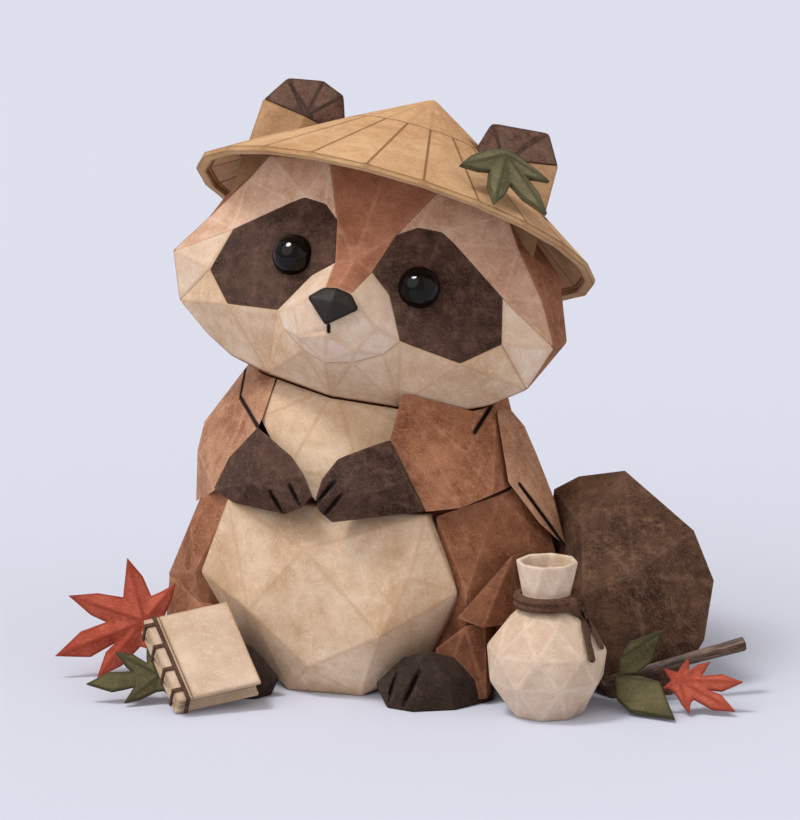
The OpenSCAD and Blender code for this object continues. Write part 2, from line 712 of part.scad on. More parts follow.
// Places an ear, in the hat's frame, on one side
module at_ear(side)
    in_hat()
        mirror([side < 0 ? 1 : 0, 0, 0])
            translate(ear_spot - [side < 0 ? 0 : ear_left_in, 0, 0])
                children();

function ear_size(side) = [ear_unit[0], ear_unit[1], ear_unit[2] * (side < 0 ? 1 : ear_left_share)];

module ear_base_form(side) {
    root = [for (p = ear_root_shares) sized([p[0], p[1], -ear_down_share], ear_unit)];
    border = [for (p = ear_border_shares) sized(p, ear_size(side))];
    at_ear(side) hull() polyhedron(concat(root, border), [[for (i = [0 : 9]) i]]);
}

module ear_base(side)
    color("peru")
        difference() {
            ear_base_form(side);
            head_form(1);
        }

module ear_tip(side)
    color("darkslategray")
        difference() {
            at_ear(side)
                lump(
                    concat(ear_border_shares, ear_top_shares, side < 0 ? ear_right_more_shares : []),
                    ear_size(side)
                );
            ear_base_form(side);
        }

// The hole that an ear passes through, a little larger than the ear
module ear_slot(side) {
    middle = [ear_middle_share[0] * ear_unit[0], ear_middle_share[1] * ear_unit[1]];
    grow = [1 + 2 * ear_room / ear_unit[0], 1 + 2 * ear_room / ear_unit[1]];
    outline = [
        for (p = ear_root_shares)
            [
                middle[0] + (p[0] * ear_unit[0] - middle[0]) * grow[0],
                middle[1] + (p[1] * ear_unit[1] - middle[1]) * grow[1]
            ]
    ];
    at_ear(side) translate([0, 0, -over]) linear_extrude(hat_h) polygon(outline);
}

function ring_points(r, h) = [
    for (i = [0 : hat_panels - 1]) [r * sin(360 * i / hat_panels), -r * cos(360 * i / hat_panels), h]
];

// The bare cone: two folded rings outside, and the same inside, one card lower
module hat_form() {
    n = hat_panels;
    ring_h = hat_h * (1 - ring_share + ring_lift_share);
    inner_r = hat_r * (1 - hat_t / hat_h);
    points = concat(
        ring_points(hat_r, 0), ring_points(hat_r * ring_share, ring_h), [[0, 0, hat_h]],
        ring_points(inner_r, 0), ring_points(hat_r * ring_share, ring_h - hat_t), [[0, 0, hat_h - hat_t]]
    );
    inside = 2 * n + 1;
    faces = [
        for (i = [0 : n - 1])
            let (j = (i + 1) % n)
            each [
                [i, n + i, j], [j, n + i, n + j], [n + i, 2 * n, n + j],
                [inside + i, inside + j, inside + n + i], [inside + j, inside + n + j, inside + n + i],
                [inside + n + i, inside + n + j, inside + 2 * n],
                [i, j, inside + i], [j, inside + j, inside + i]
            ]
    ];
    polyhedron(points, faces);
}

module hat_cone()
    color("burlywood")
        difference() {
            in_hat() hat_form();
            ear_slot(1);
            ear_slot(-1);
        }

module hat_rim()
    color("wheat")
        in_hat()
            translate([0, 0, -rim_drop])
                linear_extrude(rim_drop)
                    difference() {
                        polygon([for (p = ring_points(hat_r, 0)) [p[0], p[1]]]);
                        polygon([for (p = ring_points(hat_r - rim_w, 0)) [p[0], p[1]]]);
                    }

module hat_seat()
    color("tan")
        in_hat()
            translate([0, 0, crown_h + rest_gap])
                difference() {
                    cylinder(h = seat_top - crown_h - 2 * rest_gap, r = seat_r, $fn = round_fn);
                    translate([0, 0, -over])
                        cylinder(h = seat_top - crown_h + 2 * over, r = seat_r - seat_wall, $fn = round_fn);
                }

module maple(lobes, size) linear_extrude(leaf_t) polygon(maple_outline(lobes, size));

module lance(length) linear_extrude(leaf_t) polygon(lance_shares * length);

module hat_leaf()
    color("darkolivegreen")
        difference() {
            in_hat()
                translate(hat_leaf_spot)
                    rotate([hat_leaf_stand, 0, hat_leaf_turn])
                        maple(hat_leaf_shares, hat_leaf_size);
            in_hat() hat_form();
        }

// Places what follows and turns it to the front left
module in_view(spot) translate(spot) rotate([0, 0, view_turn]) children();

// Stands a leaf on its lowest lobes on the table, facing the viewer and leaning back
module standing_maple(spot, back, lobes, size) {
    lowest = min([for (p = maple_outline(lobes, size)) p[1]]);
    in_view(spot + [0, 0, -lowest * cos(back)])
        rotate([90 - back, 0, 0])
            maple(lobes, size);
}

module red_leaf_large()
    color("indianred")
        standing_maple(red_leaf_spot, red_leaf_angle, red_leaf_shares, red_leaf_size);

module green_leaf_ground()
    color("darkolivegreen")
        standing_maple(green_leaf_spot, green_leaf_angle, green_leaf_shares, green_leaf_size);

module red_leaf_small()
    color("indianred")
        standing_maple(small_leaf_spot, small_leaf_angle, small_leaf_shares, small_leaf_size);

module twig_leaf_upper()
    color("darkolivegreen")
        difference() {
            in_view(upper_leaf_spot)
                rotate([90 - upper_leaf_angle, 0, 0])
                    rotate([0, 0, upper_leaf_turn])
                        lance(upper_leaf_l);
            twig_form();
        }

module twig_leaf_lower()
    color("darkolivegreen")
        difference() {
            in_view(lower_leaf_spot)
                rotate([lower_leaf_roll, lower_leaf_dip, lower_leaf_turn])
                    lance(lower_leaf_l);
            twig_form();
        }

module twig_form() {
    way = twig_to - twig_from;
    translate(twig_from)
        rotate([0, acos(way[2] / norm(way)), atan2(way[1], way[0])])
            hull() {
                cylinder(h = leaf_t, d = twig_d * twig_thin_share, $fn = twig_sides);
                translate([0, 0, twig_l]) cylinder(h = leaf_t, d = twig_d, $fn = twig_sides);
            }
}

module twig() color("saddlebrown") twig_form();

// A ring of the pouch's corners, every other ring turned by half a side
function pouch_ring(r, h, step) = [
    for (i = [0 : pouch_sides - 1])
        let (turn = 360 * (i + (step % 2) / 2) / pouch_sides)
        [r * cos(turn), r * sin(turn), h]
];

// The pouch is folded from triangles, outside and inside, with an open mouth and a flat foot
module pouch_solid() {
    n = pouch_sides;
    outer = [for (p = pouch_shares) [p[0] * pouch_r, p[1] * pouch_h]];
    rings = len(outer);
    inner = [for (p = outer) [p[0] - pouch_wall, max(p[1], pouch_wall)]];
    points = concat(
        [for (k = [0 : rings - 1]) each pouch_ring(outer[k][0], outer[k][1], k)],
        [for (k = [0 : rings - 1]) each pouch_ring(inner[k][0], inner[k][1], k)]
    );
    inside = n * rings;
    faces = concat(
        [for (k = [0 : rings - 2]) for (i = [0 : n - 1])
            let (a = k * n + i, b = k * n + (i + 1) % n, over_a = (k + 1) * n + (i + (k % 2)) % n)
            let (over_b = (k + 1) * n + (i + 1 + (k % 2)) % n, over_c = (k + 1) * n + (i + n - 1 + (k % 2)) % n)
            each [[a, over_a, b], [a, over_c, over_a]]],
        [for (k = [0 : rings - 2]) for (i = [0 : n - 1])
            let (a = inside + k * n + i, b = inside + k * n + (i + 1) % n)
            let (over_a = inside + (k + 1) * n + (i + (k % 2)) % n)
            let (over_c = inside + (k + 1) * n + (i + n - 1 + (k % 2)) % n)
            each [[a, b, over_a], [a, over_a, over_c]]],
        [for (i = [0 : n - 1])
            let (a = (rings - 1) * n + i, b = (rings - 1) * n + (i + 1) % n)
            each [[a, inside + a, b], [b, inside + a, inside + b]]],
        [[for (i = [0 : n - 1]) i]],
        [[for (i = [n - 1 : -1 : 0]) inside + i]]
    );
    polyhedron(points, faces);
}

module pouch() color("wheat") translate(pouch_spot) rotate([0, 0, pouch_turn]) pouch_solid();

function around_pouch(share) = [
    share[1] * pouch_r * cos(share[0]),
    share[1] * pouch_r * sin(share[0]),
    share[2] * pouch_h
];

// One loose end of the cord, from the knot over the shoulder of the pouch
module cord_end(shares, knot) {
    way = [knot, around_pouch(shares[0]), around_pouch(shares[1])];
    for (i = [0 : 1])
        hull() {
            translate(way[i]) sphere(d = cord_d * 0.8, $fn = 12);
            translate(way[i + 1]) sphere(d = cord_d * 0.8, $fn = 12);
        }
}

module cord_ring() {
    n = len(cord_outline_shares);
    points = [
        for (i = [0 : cord_steps - 1]) for (p = cord_outline_shares)
            let (turn = 360 * i / cord_steps, r = cord_in_r + p[0] * cord_d)
            [r * cos(turn), r * sin(turn), p[1] * cord_d]
    ];
    faces = [
        for (i = [0 : cord_steps - 1]) for (k = [0 : n - 1])
            let (j = (i + 1) % cord_steps, m = (k + 1) % n)
            [i * n + k, i * n + m, j * n + m, j * n + k]
    ];
    polyhedron(points, faces);
}

module pouch_cord() {
    knot_out = cord_in_r + cord_d / 2;
    knot = [knot_out * cos(knot_turn), knot_out * sin(knot_turn), pouch_h * cord_up_share];
    color("saddlebrown")
        translate(pouch_spot)
            rotate([0, 0, pouch_turn])
                difference() {
                    union() {
                        translate([0, 0, pouch_h * cord_up_share]) cord_ring();
                        translate(knot) hull() sphere(d = knot_d, $fn = 10);
                        cord_end(cord_end_shares, knot);
                        cord_end(cord_end_short_shares, knot);
                    }
                    pouch_solid();
                }
}

// Moves what follows into the book's own frame: across its cover, up its spine, out of its front
module in_book()
    translate(book_spot) rotate([0, 0, book_turn]) rotate([book_lean, 0, 0]) rotate([0, 0, book_roll]) children();

module book_back_cover() color("wheat") in_book() cube([book_w, book_h, cover_t]);

module book_pages()
    color("antiquewhite")
        in_book()
            translate([page_in, page_in, cover_t])
                cube([book_w - 2 * page_in, book_h - 2 * page_in, book_pages]);

module book_front_cover()
    color("wheat")
        in_book()
            translate([sewing_in + hinge_gap, 0, cover_t + book_pages + rest_gap])
                cube([book_w - sewing_in - hinge_gap, book_h, cover_t]);

module book_spine_strip()
    color("wheat")
        in_book()
            translate([0, 0, cover_t + book_pages])
                cube([sewing_in, book_h, cover_t]);

module book_thread() {
    top = 2 * cover_t + book_pages;
    color("saddlebrown")
        in_book() {
            translate([sewing_line, -thread_up, top]) cube([thread_d, book_h + 2 * thread_up, thread_up]);
            for (end = [-thread_up, book_h])
                translate([sewing_line, end, 0]) cube([thread_d, thread_up, top]);
            for (share = stitch_shares)
                translate([-thread_up, share * book_h, 0]) {
                    translate([0, 0, top]) cube([sewing_line + thread_up, thread_d, thread_up]);
                    cube([thread_up, thread_d, top]);
                }
        }
}

base_card();
body_shell();
neck_tube();
chest_panel();
belly_panel();
haunch(1);  // haunch_left
haunch(-1);  // haunch_right
thigh(1);  // thigh_left
thigh(-1);  // thigh_right
lower_leg_left();
foot(1);  // foot_left
foot(-1);  // foot_right
arm(1);  // arm_left
arm(-1);  // arm_right
paw(1);  // paw_left
paw(-1);  // paw_right
back_flap();
tail();
head_core();
head_back();
forehead_stripe();
brow(1);  // brow_left
brow(-1);  // brow_right
mask(1);  // mask_left
mask(-1);  // mask_right
cheek(1);  // cheek_left
cheek(-1);  // cheek_right
jaw();
muzzle();
nose();
eye(1);  // eye_left
eye(-1);  // eye_right
ear_base(1);  // ear_base_left
ear_base(-1);  // ear_base_right
ear_tip(1);  // ear_tip_left
ear_tip(-1);  // ear_tip_right
hat_cone();
hat_rim();
hat_seat();
hat_leaf();
pouch();
pouch_cord();
book_front_cover();
book_pages();
book_back_cover();
book_spine_strip();
book_thread();
red_leaf_large();
green_leaf_ground();
twig();
twig_leaf_upper();
twig_leaf_lower();
red_leaf_small();
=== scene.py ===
# %% [markdown]
# # A folded-paper tanuki
#
# The ornament is folded from thick mulberry paper: a seated tanuki under a conical straw hat,
# with a tied pouch, a sewn account book, maple leaves and a twig beside it.
# The solid model gives the true sizes and places. This lesson turns its sharp solids into paper:
# soft folds, a fibrous surface, and the small cuts and cords that the solids leave out.

# %% Load the frame
import json
import math

import bpy
import numpy as np
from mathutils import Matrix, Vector, noise


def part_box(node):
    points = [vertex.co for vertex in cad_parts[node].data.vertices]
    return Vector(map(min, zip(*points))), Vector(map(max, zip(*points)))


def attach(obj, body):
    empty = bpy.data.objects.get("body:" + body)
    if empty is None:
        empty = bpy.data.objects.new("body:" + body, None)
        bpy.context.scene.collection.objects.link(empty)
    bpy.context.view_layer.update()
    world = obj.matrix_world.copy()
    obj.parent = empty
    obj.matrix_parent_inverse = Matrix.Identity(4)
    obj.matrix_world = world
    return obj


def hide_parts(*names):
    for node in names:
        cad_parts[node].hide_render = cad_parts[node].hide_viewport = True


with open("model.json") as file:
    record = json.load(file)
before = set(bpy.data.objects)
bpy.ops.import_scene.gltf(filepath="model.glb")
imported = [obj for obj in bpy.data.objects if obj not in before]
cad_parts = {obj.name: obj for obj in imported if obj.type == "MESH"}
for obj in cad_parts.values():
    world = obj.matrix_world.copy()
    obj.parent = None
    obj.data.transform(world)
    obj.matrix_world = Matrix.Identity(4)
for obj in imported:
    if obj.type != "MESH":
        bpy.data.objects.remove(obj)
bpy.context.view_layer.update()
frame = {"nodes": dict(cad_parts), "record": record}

MM = 0.001
FAR = 1.0  # metres; nothing on the figure is this far from anything else on it
scene = bpy.context.scene

# %% [markdown]
# ## The camera
#
# The figure is seen a little from its left front and from slightly above. A long lens at 2.6 m
# keeps the view almost parallel, as in the picture, and one millimetre on the figure is
# the same size wherever it lies. The view's right, up and away directions are kept,
# because the small cuts in the paper are placed by where they are seen.

# %% Place the camera
VIEW_TURN, VIEW_HIGH = math.radians(18), math.radians(14)
VIEW_DISTANCE = 2.6
VIEW_WIDTH = 155 * MM
VIEW_MIDDLE = (5.6, 47.7)  # millimetres right and up of the origin, as seen
SENSOR_WIDTH = 36
view_away = Vector((-math.sin(VIEW_TURN) * math.cos(VIEW_HIGH),
                    math.cos(VIEW_TURN) * math.cos(VIEW_HIGH), -math.sin(VIEW_HIGH)))
view_right = Vector((math.cos(VIEW_TURN), math.sin(VIEW_TURN), 0))
view_up = view_right.cross(view_away)
view_middle = (view_right * VIEW_MIDDLE[0] + view_up * VIEW_MIDDLE[1]) * MM

camera_data = bpy.data.cameras.new("long lens")
camera_data.sensor_fit = "HORIZONTAL"
camera_data.sensor_width = SENSOR_WIDTH
camera_data.lens = SENSOR_WIDTH * VIEW_DISTANCE / VIEW_WIDTH
camera = bpy.data.objects.new("camera", camera_data)
scene.collection.objects.link(camera)
camera.location = view_middle - view_away * VIEW_DISTANCE
camera.rotation_euler = view_away.to_track_quat("-Z", "Y").to_euler()
scene.camera = camera
print("lens", round(camera_data.lens), "mm at", VIEW_DISTANCE, "m")

# %% [markdown]
# ## Working by hand, in code
#
# Blender's tools act on whatever is selected, and the loaded solids come in selected.
# So each step first picks exactly one object. Edges to work on are then picked by their length
# and handed to the tool. Points are read and moved all at once, as tables of numbers.


# %% Picking objects and edges, reading and moving points
def only(piece):
    if bpy.context.object and bpy.context.object.mode != "OBJECT":
        bpy.ops.object.mode_set(mode="OBJECT")
    bpy.ops.object.select_all(action="DESELECT")
    piece.select_set(True)
    bpy.context.view_layer.objects.active = piece


def pick_edges(mesh, wanted):
    for part, count in ((mesh.vertices, len(mesh.vertices)), (mesh.polygons, len(mesh.polygons))):
        part.foreach_set("select", np.zeros(count, bool))
    mesh.edges.foreach_set("select", wanted)
    bpy.context.tool_settings.mesh_select_mode = (False, True, False)


def points_of(mesh):
    flat = np.empty(len(mesh.vertices) * 3)
    mesh.vertices.foreach_get("co", flat)
    return flat.reshape(-1, 3)


def normals_of(parts):
    """Directions in which a mesh's vertices or polygons face."""
    flat = np.empty(len(parts) * 3)
    parts.foreach_get("normal", flat)
    return flat.reshape(-1, 3)


def move_points(mesh, points):
    mesh.vertices.foreach_set("co", points.ravel())
    mesh.update()


def edges_of(mesh):
    flat = np.empty(len(mesh.edges) * 2, int)
    mesh.edges.foreach_get("vertices", flat)
    return flat.reshape(-1, 2)


def write_attribute(mesh, name, values):
    if name not in mesh.attributes:
        mesh.attributes.new(name, "FLOAT", "POINT")
    mesh.attributes[name].data.foreach_set("value", np.asarray(values, np.float32))


def read_attribute(mesh, name):
    values = np.empty(len(mesh.vertices))
    mesh.attributes[name].data.foreach_get("value", values)
    return values


def shade(piece, sharpest):
    """Smooth shading, but edges of more than sharpest degrees stay crisp."""
    only(piece)
    bpy.ops.object.shade_smooth_by_angle(angle=math.radians(sharpest))


# %% [markdown]
# ## From a sharp solid to folded paper
#
# Mulberry paper is thick and soft, so a fold is never a knife edge: it is a narrow rounded ridge.
# Its line is painted: paler on most browns, as rubbed paper and a painted highlight, and darker
# on the other papers, as painted shade. Each solid's loose triangles are merged,
# flat neighbours are joined into one facet, and the edges between facets are bevelled.
# The facets are then cut finer, so that they can swell and ripple by a tenth of a millimetre,
# and every point stores its distance to the nearest fold for the material to read.


# %% Finding the folds
def fold_lines(mesh, least_angle):
    """End points of every edge where two facets meet at more than least_angle degrees."""
    normals = normals_of(mesh.polygons)
    sides = {}
    for number, facet in enumerate(mesh.polygons):
        for key in facet.edge_keys:
            sides.setdefault(key, []).append(number)
    points = points_of(mesh)
    limit = math.cos(math.radians(least_angle))
    lines = [
        (points[a], points[b])
        for (a, b), facets in sides.items()
        if len(facets) == 2 and normals[facets[0]] @ normals[facets[1]] < limit
    ]
    return np.array(lines).reshape(-1, 2, 3)


def distance_to_lines(points, lines):
    """Distance in millimetres of each point from the nearest of the lines."""
    nearest = np.full(len(points), FAR)
    for start, end in lines:
        way = end - start
        share = np.clip((points - start) @ way / max(way @ way, 1e-12), 0, 1)
        gap = np.linalg.norm(points - start - share[:, None] * way, axis=1)
        nearest = np.minimum(nearest, gap)
    return nearest / MM


# %% Cutting facets finer
MOST_HALVINGS = 7


def cut_finer(piece, longest, beside=None):
    """Halves every edge that is longer than longest, until none is.

    Where beside is given, only edges with an end that passes it are halved.
    """
    mesh = piece.data
    for _ in range(MOST_HALVINGS):
        points, edges = points_of(mesh), edges_of(mesh)
        long_edges = np.linalg.norm(points[edges[:, 0]] - points[edges[:, 1]], axis=1) > longest
        if beside:
            long_edges &= beside(points)[edges].any(axis=1)
        if not long_edges.any():
            break
        pick_edges(mesh, long_edges)
        bpy.ops.object.mode_set(mode="EDIT")
        bpy.ops.mesh.subdivide(number_cuts=1)
        bpy.ops.mesh.select_all(action="SELECT")
        bpy.ops.mesh.quads_convert_to_tris(quad_method="SHORTEST_DIAGONAL", ngon_method="BEAUTY")
        bpy.ops.object.mode_set(mode="OBJECT")


# %% Softening one piece
MERGE_WITHIN = 0.02 * MM
FLAT_WITHIN = math.radians(1.5)
SWELL_FROM, SWELL_OVER = 0.3, 4  # millimetres from a fold
RIPPLE_LENGTH = 7 * MM
folds_of = {}


def soften(piece, ridge=0.3, finest=1.5, swell=0.12, ripple=0.10, least_angle=6):
    """Turns a closed sharp piece into paper with rounded folds; sizes are in millimetres."""
    only(piece)
    bpy.ops.object.mode_set(mode="EDIT")
    bpy.ops.mesh.select_all(action="SELECT")
    bpy.ops.mesh.remove_doubles(threshold=MERGE_WITHIN)
    bpy.ops.mesh.dissolve_limited(angle_limit=FLAT_WITHIN)
    bpy.ops.object.mode_set(mode="OBJECT")
    lines = fold_lines(piece.data, least_angle)
    folds_of[piece.name] = lines
    bevel = piece.modifiers.new("rounded folds", "BEVEL")
    bevel.width = ridge * MM
    bevel.segments = 2
    bevel.limit_method = "ANGLE"
    bevel.angle_limit = math.radians(least_angle)
    bevel.use_clamp_overlap = True
    bpy.ops.object.modifier_apply(modifier=bevel.name)
    bpy.ops.object.mode_set(mode="EDIT")
    bpy.ops.mesh.select_all(action="SELECT")
    bpy.ops.mesh.quads_convert_to_tris(quad_method="BEAUTY", ngon_method="BEAUTY")
    bpy.ops.object.mode_set(mode="OBJECT")
    cut_finer(piece, finest * MM)

    mesh = piece.data
    points = points_of(mesh)
    away_from_fold = distance_to_lines(points, lines)
    ease = np.clip((away_from_fold - SWELL_FROM) / SWELL_OVER, 0, 1)
    ease = ease * ease * (3 - 2 * ease)
    waves = np.array([noise.noise(Vector(p) / RIPPLE_LENGTH) for p in points])
    swelling = (swell + ripple * waves) * ease * MM
    move_points(mesh, points + normals_of(mesh.vertices) * swelling[:, None])
    write_attribute(mesh, "fold", away_from_fold)
    write_attribute(mesh, "slit", np.zeros(len(points)))
    shade(piece, 28)
    return piece


def paper_from(node, slot, **how):
    """A softened copy of one solid, which stands in for that solid and rides where it does."""
    source = frame["nodes"][node]
    mesh = source.data.copy()
    mesh.transform(source.matrix_world)
    piece = bpy.data.objects.new(node + "_sheet", mesh)
    mesh.name = piece.name
    scene.collection.objects.link(piece)
    soften(piece, **how)
    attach(piece, body_of_node[node])
    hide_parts(node)
    return piece


behaviour = frame["record"]["behaviour"]
body_of_node = {node: body for body, nodes in behaviour["bodies"].items() for node in nodes}

# %% [markdown]
# ## Colours and one node helper
#
# Paints and papers are written as the hex values that a colour picker shows, so one function
# turns them into the linear numbers that a shader needs. One more function adds any node,
# sets it, and links what it is given.


# %% Colour and node helpers
def colour(text):
    channels = [int(text[i:i + 2], 16) / 255 for i in (1, 3, 5)]
    return [c / 12.92 if c < 0.04045 else ((c + 0.055) / 1.055) ** 2.4 for c in channels] + [1]


def add(tree, kind, inputs=None, **settings):
    node = tree.nodes.new(kind)
    for name, value in settings.items():
        setattr(node, name, value)
    for place, value in (inputs or {}).items():
        if isinstance(value, bpy.types.NodeSocket):
            tree.links.new(value, node.inputs[place])
        else:
            node.inputs[place].default_value = value
    return node


def start_material(name):
    material = bpy.data.materials.new(name)
    material.use_nodes = True
    tree = material.node_tree
    shader = tree.nodes["Principled BSDF"]
    return material, tree, shader


# %% [markdown]
# ## Mulberry paper
#
# Handmade mulberry paper, dyed in the pulp: matt, soft and fibrous. Four things give it away.
# The dye lies in clouds a centimetre wide. Between them it is mottled every millimetre or two.
# Pale and dark fibres, several millimetres long, lie across each other in the surface.
# And where the sheet is folded or cut, a line a third of a millimetre wide is painted: paler
# on most browns and on the pouch, as rubbed paper and a painted highlight on the ridge, and
# darker on the creams and the other papers, as painted shade in the crease.
# Real fibres are 0.02 mm thick; they are drawn about 0.2 mm thick here, so that they show.


# %% Fibres and paper
def share_between(tree, value, low, high, least=0.0, most=1.0):
    """Turns a value between low and high into a share between least and most."""
    limits = {0: value, 1: low, 2: high, 3: least, 4: most}
    return add(tree, "ShaderNodeMapRange", limits).outputs[0]


def blend(tree, share, first, second):
    return add(tree, "ShaderNodeMix", {0: share, 6: first, 7: second}, data_type="RGBA").outputs[2]


def noise_of(tree, place, width, detail, output=0, **more):
    """Soft blotches about as wide as width."""
    wanted = {"Vector": place, "Scale": 1 / width, "Detail": detail, **more}
    return add(tree, "ShaderNodeTexNoise", wanted).outputs[output]


def streaks(tree, place, turn, length, width, rarity):
    """Thin streaks along one direction: noise stretched to length by width millimetres."""
    size = (length * MM, width * MM, width * MM)
    stretched = add(tree, "ShaderNodeMapping", {"Vector": place, "Rotation": turn, "Scale": size},
                    vector_type="TEXTURE").outputs[0]
    value = noise_of(tree, stretched, 1.0, 0.5)
    return share_between(tree, value, rarity, rarity + STREAK_EDGE)


def crossed_streaks(tree, place, turns, *size):
    """Streaks along several directions, lying across each other."""
    crossed = streaks(tree, place, turns[0], *size)
    for turn in turns[1:]:
        crossed = add(tree, "ShaderNodeMath", {0: crossed, 1: streaks(tree, place, turn, *size)},
                      operation="MAXIMUM").outputs[0]
    return crossed


STREAK_EDGE = 0.07
# directions, length and width in millimetres, and how rare
PALE_FIBRES = (((0.2, 0.3, 0.5), (1.1, 0.2, 2.0), (0.5, 1.2, 1.3)), 5.5, 0.26, 0.62)
DARK_FIBRES = (((0.9, 0.8, 0.1), (0.1, 0.6, 2.6)), 4.0, 0.22, 0.63)
CLOUD_WIDTH, SPOT_WIDTH, SWAY_WIDTH, SWAY = 11 * MM, 2.6 * MM, 5 * MM, 4.5 * MM
RELIEF = 0.10 * MM
SLIT_SHADOW = "#1C110D"


def paper(name, base, light, dark, crease=None, crease_share=0.5, crease_width=0.6, fibres=0.5,
          mottle=0.5, clouds=0.5, roughness=0.88, painted_light_above=None, fold_shade=None):
    """One dyed paper; the shares lie between 0 and 1, and widths and heights are in millimetres."""
    material, tree, shader = start_material(name)
    place = add(tree, "ShaderNodeTexCoord").outputs["Object"]
    cloud = noise_of(tree, place, CLOUD_WIDTH, 4, Roughness=0.6)
    spots = noise_of(tree, place, SPOT_WIDTH, 6, Roughness=0.70)
    sway = noise_of(tree, place, SWAY_WIDTH, 1, "Color")
    bend = add(tree, "ShaderNodeVectorMath", {0: sway, "Scale": SWAY}, operation="SCALE").outputs[0]
    swayed = add(tree, "ShaderNodeVectorMath", {0: place, 1: bend}, operation="ADD").outputs[0]

    tone = blend(tree, share_between(tree, cloud, 0.32, 0.68), colour(dark), colour(light))
    tone = blend(tree, clouds, colour(base), tone)
    # Painted light: above the given height the paper turns towards its light colour, a painted
    # highlight on the top.
    if painted_light_above:
        height = add(tree, "ShaderNodeSeparateXYZ", {0: swayed}).outputs["Z"]
        upper = share_between(tree, height, painted_light_above[0] * MM, painted_light_above[1] * MM, 0.0, 0.75)
        tone = blend(tree, upper, tone, colour(light))
    tone = blend(tree, share_between(tree, spots, 0.52, 0.66, 0.0, mottle), tone, colour(light))
    tone = blend(tree, share_between(tree, spots, 0.48, 0.34, 0.0, mottle), tone, colour(dark))
    pale_streaks = crossed_streaks(tree, swayed, *PALE_FIBRES)
    dark_streaks = crossed_streaks(tree, swayed, *DARK_FIBRES)
    tone = blend(tree, share_between(tree, pale_streaks, 0, 1, 0, fibres), tone, colour(light))
    tone = blend(tree, share_between(tree, dark_streaks, 0, 1, 0, fibres * 0.8), tone, colour(dark))

    # Fold line: near every fold and cut edge the paper turns to its crease colour, paler on most
    # browns as rubbed paper and a painted highlight, darker on the others as painted shade; spots
    # break it up.
    fold = add(tree, "ShaderNodeAttribute", attribute_name="fold").outputs["Fac"]
    limits = {0: fold, 1: 0.12, 2: crease_width, 3: crease_share, 4: 0.0}
    line = add(tree, "ShaderNodeMapRange", limits, interpolation_type="SMOOTHSTEP").outputs[0]
    rub_and_light_patches = share_between(tree, spots, 0.30, 0.62, 0.35, 1.0)
    line = add(tree, "ShaderNodeMath", {0: line, 1: rub_and_light_patches}, operation="MULTIPLY").outputs[0]
    tone = blend(tree, line, tone, colour(crease or light))
    # Painted shade: a darker line where the given attribute says a hard fold is near.
    if fold_shade:
        shade_line_distance = add(tree, "ShaderNodeAttribute", attribute_name="fold_shade").outputs["Fac"]
        line = share_between(tree, shade_line_distance, 0.10, 0.34, 0.8, 0.0)
        tone = blend(tree, line, tone, colour(fold_shade))
    slit = add(tree, "ShaderNodeAttribute", attribute_name="slit").outputs["Fac"]
    tone = blend(tree, share_between(tree, slit, 0.45, 0.9), tone, colour(SLIT_SHADOW))
    tree.links.new(tone, shader.inputs["Base Color"])

    height = add(tree, "ShaderNodeMath", {0: spots, 1: pale_streaks}, operation="ADD").outputs[0]
    bump = add(tree, "ShaderNodeBump", {"Height": height, "Strength": 0.6, "Distance": RELIEF})
    tree.links.new(bump.outputs[0], shader.inputs["Normal"])
    shader.inputs["Roughness"].default_value = roughness
    shader.inputs["Specular IOR Level"].default_value = 0.12
    return material


# %% The papers of the tanuki
cream = paper("cream mulberry paper", "#D6BA9D", "#EAD6BE", "#B58C66", crease="#B48A64",
              crease_share=0.36, fibres=0.32, mottle=0.40, clouds=0.6, crease_width=0.65)
pale = paper("pale cream mulberry paper", "#DBC2AB", "#F0E2D3", "#C29F80", crease="#BC9069",
             crease_share=0.34, fibres=0.28, mottle=0.34, clouds=0.5, crease_width=0.7)
brow_tan = paper("tan mulberry paper", "#C3977D", "#DEBEA5", "#9C6C50", crease="#E3C9B2",
                 crease_share=0.22, fibres=0.38, mottle=0.45, clouds=0.6, crease_width=0.45)
# A copy of the tan paper painted lighter: painted light on the brow that the hat would shade.
brow_tan_painted_lighter = paper("tan mulberry paper painted lighter", "#D5AC92", "#ECD0B9", "#AE8164", crease="#F0DDCB",
                  crease_share=0.3, fibres=0.38, mottle=0.45, clouds=0.6, crease_width=0.45)
# A copy of the brown paper painted lighter: painted light on the back flap and the right arm.
brown_painted_lighter = paper("brown mulberry paper painted lighter", "#AF7D60", "#CDA386", "#7F5037",
                    crease="#CFA68A", crease_share=0.25, fibres=0.45, mottle=0.55, clouds=0.6)
brown = paper("brown mulberry paper", "#925C40", "#BB8868", "#643824", crease="#C4957A",
              crease_share=0.2, fibres=0.45, mottle=0.55, clouds=0.5)
stripe_brown = paper("reddish brown mulberry paper", "#9C644A", "#C08B6F", "#74432C",
                     crease="#D0A184", crease_share=0.28, fibres=0.4, mottle=0.45, clouds=0.5)
leg_brown = paper("dark brown mulberry paper", "#6C402C", "#936247", "#442718", crease="#AE7F62",
                  crease_share=0.28, fibres=0.45, mottle=0.55, clouds=0.5)
dark = paper("black brown mulberry paper", "#3C2820", "#6C5145", "#211410", crease="#7F6558",
             crease_share=0.14, fibres=0.5, mottle=0.6, clouds=0.5)
foot_dark = paper("sooty mulberry paper", "#2C2019", "#524038", "#19110D", crease="#1B120E",
                  crease_share=0.3, fibres=0.45, mottle=0.5, clouds=0.5)
